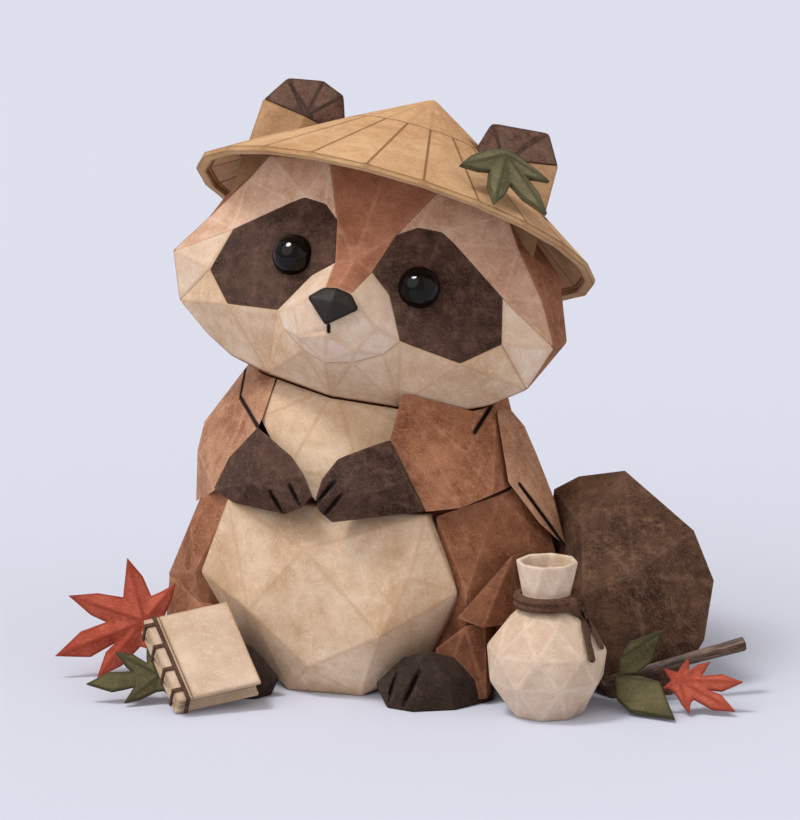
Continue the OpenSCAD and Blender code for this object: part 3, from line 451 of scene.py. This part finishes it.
# The ear tips' fold lines are painted dark and strong, as painted shade in their folds.
ear_dark = paper("dark brown ear paper", "#584036", "#806456", "#35221B", crease="#2C1C16",
                 crease_share=0.9, fibres=0.5, mottle=0.6, clouds=0.5)
ear_tan = paper("ear paper", "#A37F5E", "#C09D79", "#7A593D", crease="#8A6644", crease_share=0.4,
                fibres=0.35, mottle=0.4, clouds=0.6)
# The tail's top is painted lighter from 36 mm up, a painted highlight where the light falls on it.
tail_dark = paper("smoked mulberry paper", "#462C20", "#83644F", "#281811", crease="#8F7263",
                  crease_share=0.16, fibres=0.45, mottle=0.55, clouds=0.5, painted_light_above=(36, 50))
nose_black = paper("waxed black paper", "#221D1B", "#3C3532", "#0F0D0C", crease="#0F0D0C",
                   crease_share=0.3, fibres=0.15, mottle=0.3, roughness=0.55)
card = paper("plain card", "#B99A76", "#CDB394", "#92745A", crease="#8E7052", fibres=0.2,
             mottle=0.3)
print("papers:", len(bpy.data.materials))

# %% [markdown]
# ## The tanuki's sheets
#
# Body, head, limbs and tail are all sheets of these papers glued edge to edge, so each one
# is softened by itself, and a hair-thin groove is left where two sheets meet.
# Card that nobody sees, under and inside the figure, keeps its plain solid.


# %% Dress the tanuki's sheets
def dress(piece, material):
    piece.data.materials.clear()
    piece.data.materials.append(material)
    return piece


SHEETS = {
    "body_shell": (brown, "brown_paper"),
    "chest_panel": (cream, "cream_paper"),
    "belly_panel": (cream, "cream_paper"),
    "haunch_left": (brown, "brown_paper"),
    "haunch_right": (brown, "brown_paper"),
    "thigh_left": (leg_brown, "brown_paper"),
    "thigh_right": (brown, "brown_paper"),
    "lower_leg_left": (leg_brown, "leg_paper"),
    # back flap and right arm: brown painted lighter, as painted light
    "back_flap": (brown_painted_lighter, "brown_paper"),
    "arm_left": (brown, "brown_paper"),
    "arm_right": (brown_painted_lighter, "brown_paper"),
    "tail": (tail_dark, "tail_paper"),
    "head_back": (brown, "brown_paper"),
    "forehead_stripe": (stripe_brown, "stripe_paper"),
    "brow_left": (brow_tan, "brow_paper"),
    # the right brow wears the tan paper painted lighter, as painted light
    "brow_right": (brow_tan_painted_lighter, "brow_paper"),
    "mask_left": (dark, "dark_brown_paper"),
    "mask_right": (dark, "dark_brown_paper"),
    "cheek_left": (pale, "pale_paper"),
    "cheek_right": (pale, "pale_paper"),
    "jaw": (cream, "cream_paper"),
    "muzzle": (pale, "pale_paper"),
    "ear_base_left": (ear_tan, "stripe_paper"),
    "ear_base_right": (ear_tan, "stripe_paper"),
    "ear_tip_left": (ear_dark, "dark_brown_paper"),
    "ear_tip_right": (ear_dark, "dark_brown_paper"),
}
PAWS = {"foot_left": foot_dark, "foot_right": foot_dark, "paw_left": dark, "paw_right": dark}
SLIT_SHEETS = ("muzzle", "arm_left", "arm_right", "back_flap")  # cut finer, for their slits
sheets = {}
for node, (material, slot) in SHEETS.items():
    finest = 0.8 if node in SLIT_SHEETS else 1.5
    sheets[node] = dress(paper_from(node, slot, finest=finest), material)
for node, material in PAWS.items():
    sheets[node] = dress(paper_from(node, "dark_brown_paper", finest=0.7), material)
sheets["nose"] = dress(paper_from("nose", "nose_paper", ridge=0.4, finest=0.8), nose_black)
for node in ("base_card", "neck_tube", "head_core", "hat_seat"):
    dress(frame["nodes"][node], card)
faces = sum(len(piece.data.polygons) for piece in sheets.values())
print("softened", len(sheets), "sheets,", faces, "faces")

# %% [markdown]
# ## Slits
#
# Claws, toes, sleeve openings and the mouth are cuts or sharp tucks in the paper.
# Each is drawn as a line where it is seen from the front, dropped onto the sheet,
# and the paper along it is pushed in. The depth fades to nothing across half the width,
# which makes a clean V. The point of a cut is darkened as a shadow line; a mere crease is
# marked as one more fold. The cuts are made further on, when every sheet is in its place.


# %% Cut a slit
IN_FRONT = 0.3  # metres, more than the figure's depth
PIXEL = 0.62  # millimetres that one pixel of the picture spans
CHEST = (-2, 42)  # the chest, in such pixels right and up of the origin
SLIT_FINEST = 0.4 * MM
SLIT_FADE = 0.25  # share of a slit's length over which each end grows shallow


def before_figure(right, up):
    """A point in front of the whole figure, at a place in view millimetres from the origin."""
    return (view_right * right + view_up * up) * MM - view_away * IN_FRONT


def seen_first(right, up):
    """The sheet, and the point on it, that is seen at a place in view millimetres."""
    start = before_figure(right, up)
    best = None
    for piece in sheets.values():
        hit, point, _, _ = piece.ray_cast(start, view_away)
        if hit and (best is None or (point - start).length < (best[1] - start).length):
            best = (piece, point)
    return best


def along(places, steps=8):
    """The same broken line with more points on every stretch."""
    line = []
    for (x0, y0), (x1, y1) in zip(places, places[1:]):
        line += [(x0 + (x1 - x0) * k / steps, y0 + (y1 - y0) * k / steps) for k in range(steps)]
    return line + [places[-1]]


def slit(places, depth, width, cut_through):
    """Pushes the sheet in along a line of seen places, as a dark cut or as a mere crease."""
    found = [f for f in (seen_first(right, up) for right, up in along(places)) if f]
    piece = found[len(found) // 2][0]
    line = [point for sheet, point in found if sheet == piece]
    mesh = piece.data
    stretches = np.array([(line[k], line[k + 1]) for k in range(len(line) - 1)])
    only(piece)
    half = width * 0.5
    cut_finer(piece, SLIT_FINEST, lambda points: distance_to_lines(points, stretches) < half)
    points = points_of(mesh)
    nearest = np.full(len(points), FAR)
    share_along = np.zeros(len(points))
    count = len(line) - 1
    for number in range(count):
        start, way = np.array(line[number]), np.array(line[number + 1] - line[number])
        share = np.clip((points - start) @ way / (way @ way), 0, 1)
        gap = np.linalg.norm(points - start - share[:, None] * way, axis=1)
        closer = gap < nearest
        nearest = np.where(closer, gap, nearest)
        share_along = np.where(closer, (number + share) / count, share_along)
    near = np.clip(1 - nearest / (half * MM), 0, 1)
    taper = np.clip(np.minimum(share_along, 1 - share_along) / SLIT_FADE, 0.2, 1)
    move_points(mesh, points + np.outer(near * taper * depth * MM, np.array(view_away)))
    if cut_through:
        dark_share = np.clip(near * 1.4, 0, 1)
        write_attribute(mesh, "slit", np.maximum(read_attribute(mesh, "slit"), dark_share))
    else:
        write_attribute(mesh, "fold", np.minimum(read_attribute(mesh, "fold"), nearest / MM))
    shade(piece, 24)
    length = sum((b - a).length for a, b in zip(line, line[1:]))
    print("cut in" if cut_through else "crease in", piece.name, round(length / MM, 1), "mm long")


def seen_at(places):
    """Turns places in the picture's pixels, right and down of the chest, into view millimetres."""
    return [((x + CHEST[0]) * PIXEL, (CHEST[1] - y) * PIXEL) for x, y in places]


# %% [markdown]
# ## The straw hat
#
# The hat is ribbed paper folded in narrow panels, a conical farmer's hat in small.
# Its folds are pressed hard. The outer folds, and the ring where the crown ends, are painted as
# thin darker lines of shade, and a paler strip is glued under the brim. It rides on its own body,
# because it lifts off.

# %% Straw-coloured hat paper
# Its last colour is painted shade for the outer folds and the ring.
hat_paper = paper("straw coloured ribbed paper", "#D0A47A", "#E4C29A", "#AC8054",
                  crease="#B58A5C", crease_share=0.45, fibres=0.4, mottle=0.4, clouds=0.5,
                  fold_shade="#6E4A2C")
rim_paper = paper("straw coloured strip", "#CDA377", "#DFBE94", "#A67C52", crease="#7A5734",
                  crease_share=0.6, fibres=0.35, mottle=0.35)
hat = paper_from("hat_cone", "hat_paper", ridge=0.15, finest=1.2, swell=0.2, ripple=0.06,
                 least_angle=4)
rim = paper_from("hat_rim", "rim_paper", ridge=0.12, swell=0, ripple=0)
sheets["hat_cone"], sheets["hat_rim"] = dress(hat, hat_paper), dress(rim, rim_paper)

# %% The hat's folds, painted with lines of shade
OUTER_FOLDS = 14  # millimetres from the hat's axis; folds further in are hardly seen
RING_FOLD = 15.9  # the ring where the crown of the hat ends, also from the axis
RING_THINNESS = 1.1  # above 1, so that the ring is drawn thinner than the folds
lift_way = np.array(next(j["axis"] for j in behaviour["joints"] if j["name"] == "hat_lift"))
hat_points = points_of(frame["nodes"]["hat_cone"].data)
hat_top = hat_points[np.argmax(hat_points @ lift_way)]


def from_hat_axis(points):
    arm = points - hat_top
    return np.linalg.norm(arm - np.outer(arm @ lift_way, lift_way), axis=1) / MM


hat_folds = folds_of[hat.name]
outer = ((from_hat_axis(hat_folds[:, 0]) > OUTER_FOLDS)
         & (from_hat_axis(hat_folds[:, 1]) > OUTER_FOLDS))
softened = points_of(hat.data)
# Painted shade: each point's distance from the nearer of an outer fold and the ring where the crown
# ends.
ring_gap = np.abs(from_hat_axis(softened) - RING_FOLD) * RING_THINNESS
shade_line_gap = np.minimum(distance_to_lines(softened, hat_folds[outer]), ring_gap)
write_attribute(hat.data, "fold_shade", shade_line_gap)
print("hat", len(hat.data.polygons), "faces,", int(outer.sum()), "pressed folds")

# %% [markdown]
# ## Eyes
#
# The eyes are black glass beads glued into the dark masks: perfectly smooth, with one
# bright window of light. The solid's bead is a fair sphere but has flat facets, so a new
# bead is shaped from a fine sphere of the same radius, cut off flat where the glue sits.


# %% Black glass beads
BEAD_BACK = 0.62  # share of the radius behind the middle where the bead is cut off
BEAD_RIM = 0.5 * MM  # points further back than this are on the bead's glued side


def bead_of(node):
    """Middle and radius of the ball that best fits a solid's round outside."""
    points = points_of(frame["nodes"][node].data)
    low, high = (np.array(corner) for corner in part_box(node))
    guess = (low + high) / 2
    toward = np.array(-view_away)
    front = points[(points - guess) @ toward > -BEAD_RIM]
    table = np.c_[2 * front, np.ones(len(front))]
    answer = np.linalg.lstsq(table, (front**2).sum(1), rcond=None)[0]
    middle = answer[:3]
    return Vector(middle), math.sqrt(answer[3] + middle @ middle)


bead_glass, tree, shader = start_material("black glass bead")
bead_place = add(tree, "ShaderNodeTexCoord").outputs["Object"]
bead_cloud = noise_of(tree, bead_place, 6 * MM, 2)
bead_tone = blend(tree, bead_cloud, colour("#060505"), colour("#110E0C"))
tree.links.new(bead_tone, shader.inputs["Base Color"])
shader.inputs["Roughness"].default_value = 0.02
shader.inputs["IOR"].default_value = 1.5
shader.inputs["Specular IOR Level"].default_value = 0.2

for side in ("left", "right"):
    middle, radius = bead_of("eye_" + side)
    only(frame["nodes"]["eye_" + side])
    bpy.ops.object.select_all(action="DESELECT")
    bpy.ops.mesh.primitive_uv_sphere_add(segments=64, ring_count=32, radius=radius, location=middle)
    bead = bpy.context.object
    bead.name = "glass_bead_" + side
    bpy.ops.object.mode_set(mode="EDIT")
    bpy.ops.mesh.select_all(action="SELECT")
    bpy.ops.mesh.bisect(plane_co=middle + view_away * BEAD_BACK * radius, plane_no=view_away,
                        clear_outer=True, use_fill=True)
    bpy.ops.object.mode_set(mode="OBJECT")
    bpy.ops.object.transform_apply(location=True, rotation=True, scale=True)
    shade(bead, 40)
    dress(bead, bead_glass)
    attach(bead, "tanuki")
    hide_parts("eye_" + side)
    print(bead.name, "radius", round(radius / MM, 2), "mm")

# %% [markdown]
# ## The things beside the tanuki
#
# The pouch, the book and the leaves are paper too, so they are softened like the tanuki's
# sheets. The cord and the sewing thread are dark twisted yarn.

# %% Papers and yarn beside the figure
pouch_paper = paper("cream pouch paper", "#D3BBA3", "#EBDCCB", "#B3937A", crease="#EDE0D2",
                    crease_share=0.3, fibres=0.3, mottle=0.3)
book_paper = paper("book cover paper", "#D6BFA8", "#E8D8C6", "#B79A80", crease="#9C7850",
                   crease_share=0.5, fibres=0.35, mottle=0.32)
page_paper = paper("thin book paper", "#DFCCB0", "#ECDFCA", "#BCA181", crease="#8E7354",
                   crease_share=0.5, fibres=0.25, mottle=0.25)
hat_green = paper("olive green paper", "#656044", "#858162", "#46432D", crease="#3A3724",
                  crease_share=0.8, fibres=0.4, mottle=0.4)
dark_green = paper("dark olive paper", "#595336", "#7A7452", "#3B3723", crease="#2F2B1B",
                   crease_share=0.8, fibres=0.4, mottle=0.45)
red = paper("maple red paper", "#B24936", "#D07660", "#84301F", crease="#7E2B1C",
            crease_share=0.7, fibres=0.4, mottle=0.4)
yarn = paper("dark brown twisted yarn", "#5A3D30", "#84634F", "#33201A", crease="#2D1B14",
             crease_share=0.4, fibres=0.6, mottle=0.5)

LEAF = dict(ridge=0.1, finest=0.7)
COVER = dict(ridge=0.15)
BESIDE = {
    "pouch": (pouch_paper, "pouch_paper", dict(finest=1.2, swell=0.15)),
    "pouch_cord": (yarn, "cord", dict(ridge=0.1, finest=0.8, swell=0, ripple=0, least_angle=25)),
    "book_front_cover": (book_paper, "book_paper", COVER),
    "book_back_cover": (book_paper, "book_paper", COVER),
    "book_spine_strip": (book_paper, "book_paper", COVER),
    "book_thread": (yarn, "cord", dict(ridge=0.12, finest=0.8, swell=0, ripple=0)),
    "hat_leaf": (hat_green, "green_paper", LEAF),
    "red_leaf_large": (red, "red_paper", LEAF),
    "red_leaf_small": (red, "red_paper", LEAF),
    "green_leaf_ground": (dark_green, "dark_green_paper", LEAF),
    "twig_leaf_upper": (dark_green, "dark_green_paper", LEAF),
    "twig_leaf_lower": (dark_green, "dark_green_paper", LEAF),
}
for node, (material, slot, how) in BESIDE.items():
    sheets[node] = dress(paper_from(node, slot, **how), material)

# %% [markdown]
# ## The drawcord's loose ends
#
# The cord goes twice round the neck of the pouch and is knotted. Its two short ends are flat braid
# that lies on the shoulder of the pouch, so each end is moved onto the place where it is seen
# and pressed flat.

# %% Lay the cord's ends on the pouch
# the pouch's place and size in millimetres and its turn in degrees, as in the solid model
POUCH_MIDDLE, POUCH_RADIUS, POUCH_HEIGHT, POUCH_TURN = (44.70, -28.94), 11.4, 30, 8
CORD_REACH = 1.35 * MM  # points this near an end's middle line belong to it
CORD_LIFT = 0.7 * MM  # from the pouch's paper to the new middle line
CORD_FLATNESS, CORD_SPREAD = 0.65, 1.3  # thickness and width, against the solid's
CORD_ROUNDING = 14  # times that each point moves halfway to its neighbours' middle
KNOT_STAYS, KNOT_FADES = 2, 6  # points of the middle line that stay, and that move in part
KNOT = (-28, 0.50, 0.745)  # turn in degrees, share of the pouch's radius, share of its height
CORD_ENDS = (
    ((KNOT, (-30, 0.82, 0.60), (-32, 1.10, 0.42)),
     [(66.0, 29.2), (66.9, 32.5), (68.0, 37.0), (69.0, 41.5)]),
    ((KNOT, (-20, 0.82, 0.60), (-18, 1.08, 0.47)),
     [(67.2, 29.4), (69.0, 32.2), (70.8, 35.2), (72.0, 38.0)]),
)


def beside_pouch(turn, out, up):
    angle = math.radians(turn + POUCH_TURN)
    return np.array((POUCH_MIDDLE[0] + POUCH_RADIUS * out * math.cos(angle),
                     POUCH_MIDDLE[1] + POUCH_RADIUS * out * math.sin(angle),
                     POUCH_HEIGHT * up)) * MM


def even_points(line, count=25):
    """The same line as evenly spaced points."""
    line = np.array(line)
    far = np.r_[0, np.cumsum(np.linalg.norm(np.diff(line, axis=0), axis=1))]
    steps = np.linspace(0, far[-1], count)
    return np.array([np.interp(steps, far, line[:, k]) for k in range(3)]).T


def line_frames(line):
    """Along, outward from the pouch and sideways, at every point of a line."""
    ahead = np.gradient(line, axis=0)
    ahead /= np.linalg.norm(ahead, axis=1)[:, None]
    outward = line - np.array((*POUCH_MIDDLE, 0)) * MM
    outward[:, 2] = 0
    outward -= (outward * ahead).sum(1)[:, None] * ahead
    outward /= np.linalg.norm(outward, axis=1)[:, None]
    return ahead, outward, np.cross(ahead, outward)


cord_mesh = sheets["pouch_cord"].data
for old_way, seen in CORD_ENDS:
    old_line = even_points([beside_pouch(*spot) for spot in old_way])
    hits = []
    for right, up in along(seen_at(seen), 4):
        hit, spot, normal, _ = sheets["pouch"].ray_cast(before_figure(right, up), view_away)
        if hit:
            hits.append(np.array(spot + normal * CORD_LIFT))
    new_line = even_points([old_line[0]] + hits)
    for _ in range(CORD_ROUNDING):
        new_line[1:-1] = (new_line[:-2] + 2 * new_line[1:-1] + new_line[2:]) / 4
    points = points_of(cord_mesh)
    gaps = np.linalg.norm(points[:, None] - old_line[None], axis=2)
    nearest = gaps.argmin(1)
    own = gaps.min(1) < CORD_REACH
    share = np.clip((nearest - KNOT_STAYS) / KNOT_FADES, 0, 1)[:, None]
    old_frame, new_frame = line_frames(old_line), line_frames(new_line)
    arm = points - old_line[nearest]
    ahead, outward, sideways = ((arm * axis[nearest]).sum(1)[:, None] for axis in old_frame)
    moved = (new_line[nearest] + ahead * new_frame[0][nearest]
             + CORD_FLATNESS * outward * new_frame[1][nearest]
             + CORD_SPREAD * sideways * new_frame[2][nearest])
    points[own] = (points + share * (moved - points))[own]
    move_points(cord_mesh, points)
    print("cord end:", int(own.sum()), "points moved onto", len(hits), "places")

# %% [markdown]
# ## Folding the leaves
#
# Every leaf is cut flat, then folded once along each lobe, so its two halves catch the light
# differently. The lobes are found from the outline: a tip is a sharp corner, and the fold runs
# from it through the middle of its two shoulders. The folds of a maple leaf meet at one point.


# %% Find the lobes and fold the leaf
FRONT_WITHIN = 0.15 * MM  # from the leaf's highest point, along its flat way
SHORTEST_SIDE = 1.2 * MM  # of a tip; a maple leaf's teeth are shorter


def flat_way(points):
    """The direction in which the points are thinnest, turned to the viewer."""
    middle = points.mean(0)
    way = np.linalg.svd(points - middle, full_matrices=False)[2][2]
    return way if way @ np.array(view_away) < 0 else -way


def outline_of(piece, way):
    """Corners of the piece's front face in order, from its fold lines."""
    lines = folds_of[piece.name]
    level = (lines @ way).max()
    front = [line for line in lines if min(line @ way) > level - FRONT_WITHIN]
    key = lambda p: tuple(np.round(p / MERGE_WITHIN).astype(int))
    ends = {}
    for a, b in front:
        ends.setdefault(key(a), []).append((key(b), b))
        ends.setdefault(key(b), []).append((key(a), a))
    loops, used = [], set()
    for first in ends:
        if first in used:
            continue
        loop, here = [], first
        while here not in used:
            used.add(here)
            onward = [e for e in ends[here] if e[0] not in used]
            if not onward:
                break
            here = onward[0][0]
            loop.append(onward[0][1])
        loops.append(loop)
    return np.array(max(loops, key=len))


def lobe_folds(corners, way, sharpest=75):
    """Fold lines of a leaf: from each tip to where the lobes meet, or end to end if it has none."""
    tips = []
    inside = corners.mean(0)
    count = len(corners)
    turn = sum(np.cross(corners[k] - inside, corners[(k + 1) % count] - inside) @ way
               for k in range(count))
    for k in range(count):
        before, here, after = corners[k - 1], corners[k], corners[(k + 1) % count]
        a, b = before - here, after - here
        long_a, long_b = np.linalg.norm(a), np.linalg.norm(b)
        angle = math.degrees(math.acos(np.clip(a @ b / long_a / long_b, -1, 1)))
        convex = np.cross(here - before, after - here) @ way * turn > 0
        if convex and angle < sharpest and min(long_a, long_b) > SHORTEST_SIDE:
            tips.append((here, (before + after) / 2 - here))
    if len(tips) < 3:
        return np.array([max(((p, q) for p in corners for q in corners),
                             key=lambda pair: np.linalg.norm(pair[0] - pair[1]))])
    table, answer = np.zeros((3, 3)), np.zeros(3)
    for tip, axis in tips:
        axis = axis / np.linalg.norm(axis)
        across = np.eye(3) - np.outer(axis, axis)
        table += across
        answer += across @ tip
    middle = np.linalg.lstsq(table, answer, rcond=None)[0]
    return np.array([(tip, middle) for tip, _ in tips])


def fold_leaf(piece, height=1.0, reach=2.6):
    """Raises the leaf into a ridge along each lobe; sizes are in millimetres."""
    mesh = piece.data
    points = points_of(mesh)
    way = flat_way(points)
    lines = lobe_folds(outline_of(piece, way), way)
    level = (folds_of[piece.name] @ way).max()
    flat_points = points + np.outer(level - points @ way, way)
    gap = distance_to_lines(flat_points, lines)
    lift = height * np.clip(1 - gap / reach, 0, 1)
    move_points(mesh, points + np.outer(lift * MM, way))
    write_attribute(mesh, "fold", np.minimum(read_attribute(mesh, "fold"), gap))
    shade(piece, 16)
    print(piece.name, "folded along", len(lines), "lobes")


for node, (_, _, how) in BESIDE.items():
    if how is LEAF:
        fold_leaf(sheets[node])

# %% [markdown]
# ## The pages
#
# The solid model has the pages as one block. Here they are seven leaves, each a hair
# out of line with the next, as in a book that was sewn by hand.

# %% Stack the pages
PAGES = 7
PAGE_FROM, PAGE_SHARE = 0.04, 0.92  # of its step in the stack, the rest is air
PAGE_TRIM, PAGE_SHIFT = 0.006, 0.12 * MM
block = frame["nodes"]["book_pages"]
block_points = points_of(block.data)
stack_way = flat_way(block_points)
stack_way = stack_way if stack_way[2] > 0 else -stack_way
low, high = (block_points @ stack_way).min(), (block_points @ stack_way).max()
page_thickness = (high - low) / PAGES
stack_middle = block_points.mean(0)
leaves = []
for number in range(PAGES):
    mesh = block.data.copy()
    level = (block_points @ stack_way - low) / (high - low)
    wanted = low + (number + PAGE_FROM + PAGE_SHARE * level) * page_thickness
    places = block_points + np.outer(wanted - block_points @ stack_way, stack_way)
    shift = np.array([math.sin(number * 2.4), math.cos(number * 3.1), math.sin(number * 1.7 + 1)])
    shift = (shift - (shift @ stack_way) * stack_way) * PAGE_SHIFT
    trimmed = (places - stack_middle) * (1 - PAGE_TRIM * (number % 3))
    move_points(mesh, stack_middle + trimmed + shift)
    leaf = bpy.data.objects.new("page_" + str(number + 1), mesh)
    mesh.name = leaf.name
    scene.collection.objects.link(leaf)
    soften(leaf, ridge=0.06, finest=2.5, swell=0, ripple=0)
    leaves.append(leaf)
only(leaves[0])
for leaf in leaves:
    leaf.select_set(True)
bpy.ops.object.join()
pages = dress(bpy.context.object, page_paper)
pages.name = "page_stack"
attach(pages, "book")
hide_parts("book_pages")
sheets["book_pages"] = pages
print("pages:", PAGES, "leaves of", round(page_thickness / MM, 2), "mm")

# %% [markdown]
# ## The twig
#
# A dry twig keeps its bark, grey brown and split lengthwise, and shows pale wood where it was cut.

# %% Bark and cut ends
FACES_THE_END = 0.85  # cosine between the surface's direction and the twig's
twig = paper_from("twig", "twig_wood", ridge=0.2, finest=0.5, swell=0.05, ripple=0.35)
twig_points = points_of(twig.data)
twig_middle = twig_points.mean(0)
twig_way = np.linalg.svd(twig_points - twig_middle, full_matrices=False)[2][0]
along_twig = np.abs(normals_of(twig.data.vertices) @ twig_way)
write_attribute(twig.data, "cut_end", along_twig > FACES_THE_END)
twig_turn = Vector(twig_way).to_track_quat("X", "Z").to_euler()

bark, tree, shader = start_material("twig bark")
bark_place = add(tree, "ShaderNodeTexCoord").outputs["Object"]
splits = streaks(tree, bark_place, tuple(twig_turn), 5.0, 0.35, 0.52)
ridges = streaks(tree, bark_place, tuple(twig_turn), 3.0, 0.3, 0.60)
blotch = noise_of(tree, bark_place, 2.2 * MM, 4)
bark_tone = blend(tree, share_between(tree, blotch, 0.35, 0.65), colour("#4A362B"),
                  colour("#6E5444"))
bark_tone = blend(tree, share_between(tree, ridges, 0, 1, 0, 0.6), bark_tone, colour("#8F7562"))
bark_tone = blend(tree, share_between(tree, splits, 0, 1, 0, 0.8), bark_tone, colour("#2A1C15"))
cut_end = add(tree, "ShaderNodeAttribute", attribute_name="cut_end").outputs["Fac"]
bark_tone = blend(tree, share_between(tree, cut_end, 0.3, 0.8), bark_tone, colour("#B5926E"))
tree.links.new(bark_tone, shader.inputs["Base Color"])
bark_bump = add(tree, "ShaderNodeBump", {"Height": splits, "Strength": 0.8, "Distance": 0.2 * MM},
                invert=True)
tree.links.new(bark_bump.outputs[0], shader.inputs["Normal"])
shader.inputs["Roughness"].default_value = 0.85
dress(twig, bark)
sheets["twig"] = twig
print("twig runs", [round(v, 2) for v in twig_way])

# %% [markdown]
# ## Claws, toes, sleeves and mouth
#
# Every sheet is in its place now, so the slits can be cut where they are seen.

# %% Cut the slits
SLITS = (  # places on the picture, depth and width in millimetres, a cut or a crease
    ([(-29, -10), (-25, -3)], 1.1, 1.5, True),  # claws
    ([(-23, -12), (-20, -6)], 1.0, 1.5, True),
    ([(-9, -13), (-15, -6)], 1.1, 1.5, True),
    ([(-7, -9), (-12, -3)], 1.0, 1.5, True),
    ([(10, 46), (7.5, 54.5)], 1.2, 1.7, True),  # toes
    ([(17, 45.5), (12, 56)], 1.3, 1.6, True),
    ([(41, -39), (34, -28)], 1.2, 1.7, True),  # sleeves and the flap behind them
    ([(-37, -48), (-38.5, -39), (-33, -30)], 1.0, 1.8, True),
    ([(48, -12), (62, 7)], 1.2, 1.8, True),
    ([(46, 10), (27, 31)], 0.7, 2.4, False),  # haunches
    ([(-61, 17), (-47, 27)], 0.7, 2.4, False),
    ([(-10.8, -62.8), (-10.8, -58.9)], 0.5, 1.5, True),  # mouth
    ([(-19.2, -58), (-11.1, -59.3), (-2.4, -53.2)], 0.45, 1.8, False),
    # the ear tip creases take the ear paper's dark fold line, painted shade
    ([(-25, -139), (-15, -124)], 1.3, 6.5, False),  # ear tips
    ([(57.5, -122.3), (42, -111)], 1.2, 6, False),
)
for places, depth, width, cut_through in SLITS:
    slit(seen_at(places), depth, width, cut_through)

# %% [markdown]
# ## Floor and light
#
# A plain pale floor, and soft light as from a big window high on the left, with a bright wall
# beside it: the bright side of every fold looks up and left. A broad weak light on the right
# keeps the shadow side readable, and the pale world fills the rest. The last lamp is seen only
# in shiny things: it lays the window's reflection in the beads and lights nothing else.

# %% Floor
FLOOR_RADIUS = 6
bpy.ops.object.select_all(action="DESELECT")
bpy.ops.mesh.primitive_circle_add(vertices=96, radius=FLOOR_RADIUS, fill_type="NGON",
                                  location=(0, 0, 0))
floor = bpy.context.object
floor.name = "floor"
floor_pale, tree, shader = start_material("pale matt floor")
floor_place = add(tree, "ShaderNodeTexCoord").outputs["Object"]
floor_cloud = noise_of(tree, floor_place, 1 / 3, 2)
floor_tone = blend(tree, floor_cloud, colour("#C8D0E6"), colour("#CCD4E9"))
tree.links.new(floor_tone, shader.inputs["Base Color"])
shader.inputs["Roughness"].default_value = 0.9
floor.data.materials.append(floor_pale)
print("floor", 2 * FLOOR_RADIUS, "m wide")


# %% Lights
def soft_light(name, direction, spread, strength, tint):
    """A far lamp, which lights the whole floor evenly; spread is the angle it fills, in degrees."""
    data = bpy.data.lights.new(name, "SUN")
    data.angle = math.radians(spread)
    data.energy = strength
    data.color = colour(tint)[:3]
    lamp = bpy.data.objects.new(name, data)
    scene.collection.objects.link(lamp)
    right, up, near = direction
    way = (view_right * right + view_up * up - view_away * near).normalized()
    lamp.location = view_middle + way
    lamp.rotation_euler = (-way).to_track_quat("-Z", "Y").to_euler()
    return lamp


WINDOW = (-0.38, 0.85, 0.38)
soft_light("window", WINDOW, 13, 1.3, "#FFF8F0")
soft_light("wall beside the window", (-0.55, 0.50, 0.67), 60, 1.05, "#FFF9F4")
soft_light("room", (0.9, 0.25, 0.6), 60, 0.3, "#FFF1E6")
glint = soft_light("window seen in the beads", WINDOW, 22, 6.5, "#FFFFFF")
glint.visible_diffuse = False
world = bpy.data.worlds.new("pale room")
world.use_nodes = True
scene.world = world
background = world.node_tree.nodes["Background"]
background.inputs["Color"].default_value = colour("#F7EEE7")
background.inputs["Strength"].default_value = 0.58
scene.view_settings.view_transform = "Standard"
print("lamps:", len(bpy.data.lights))
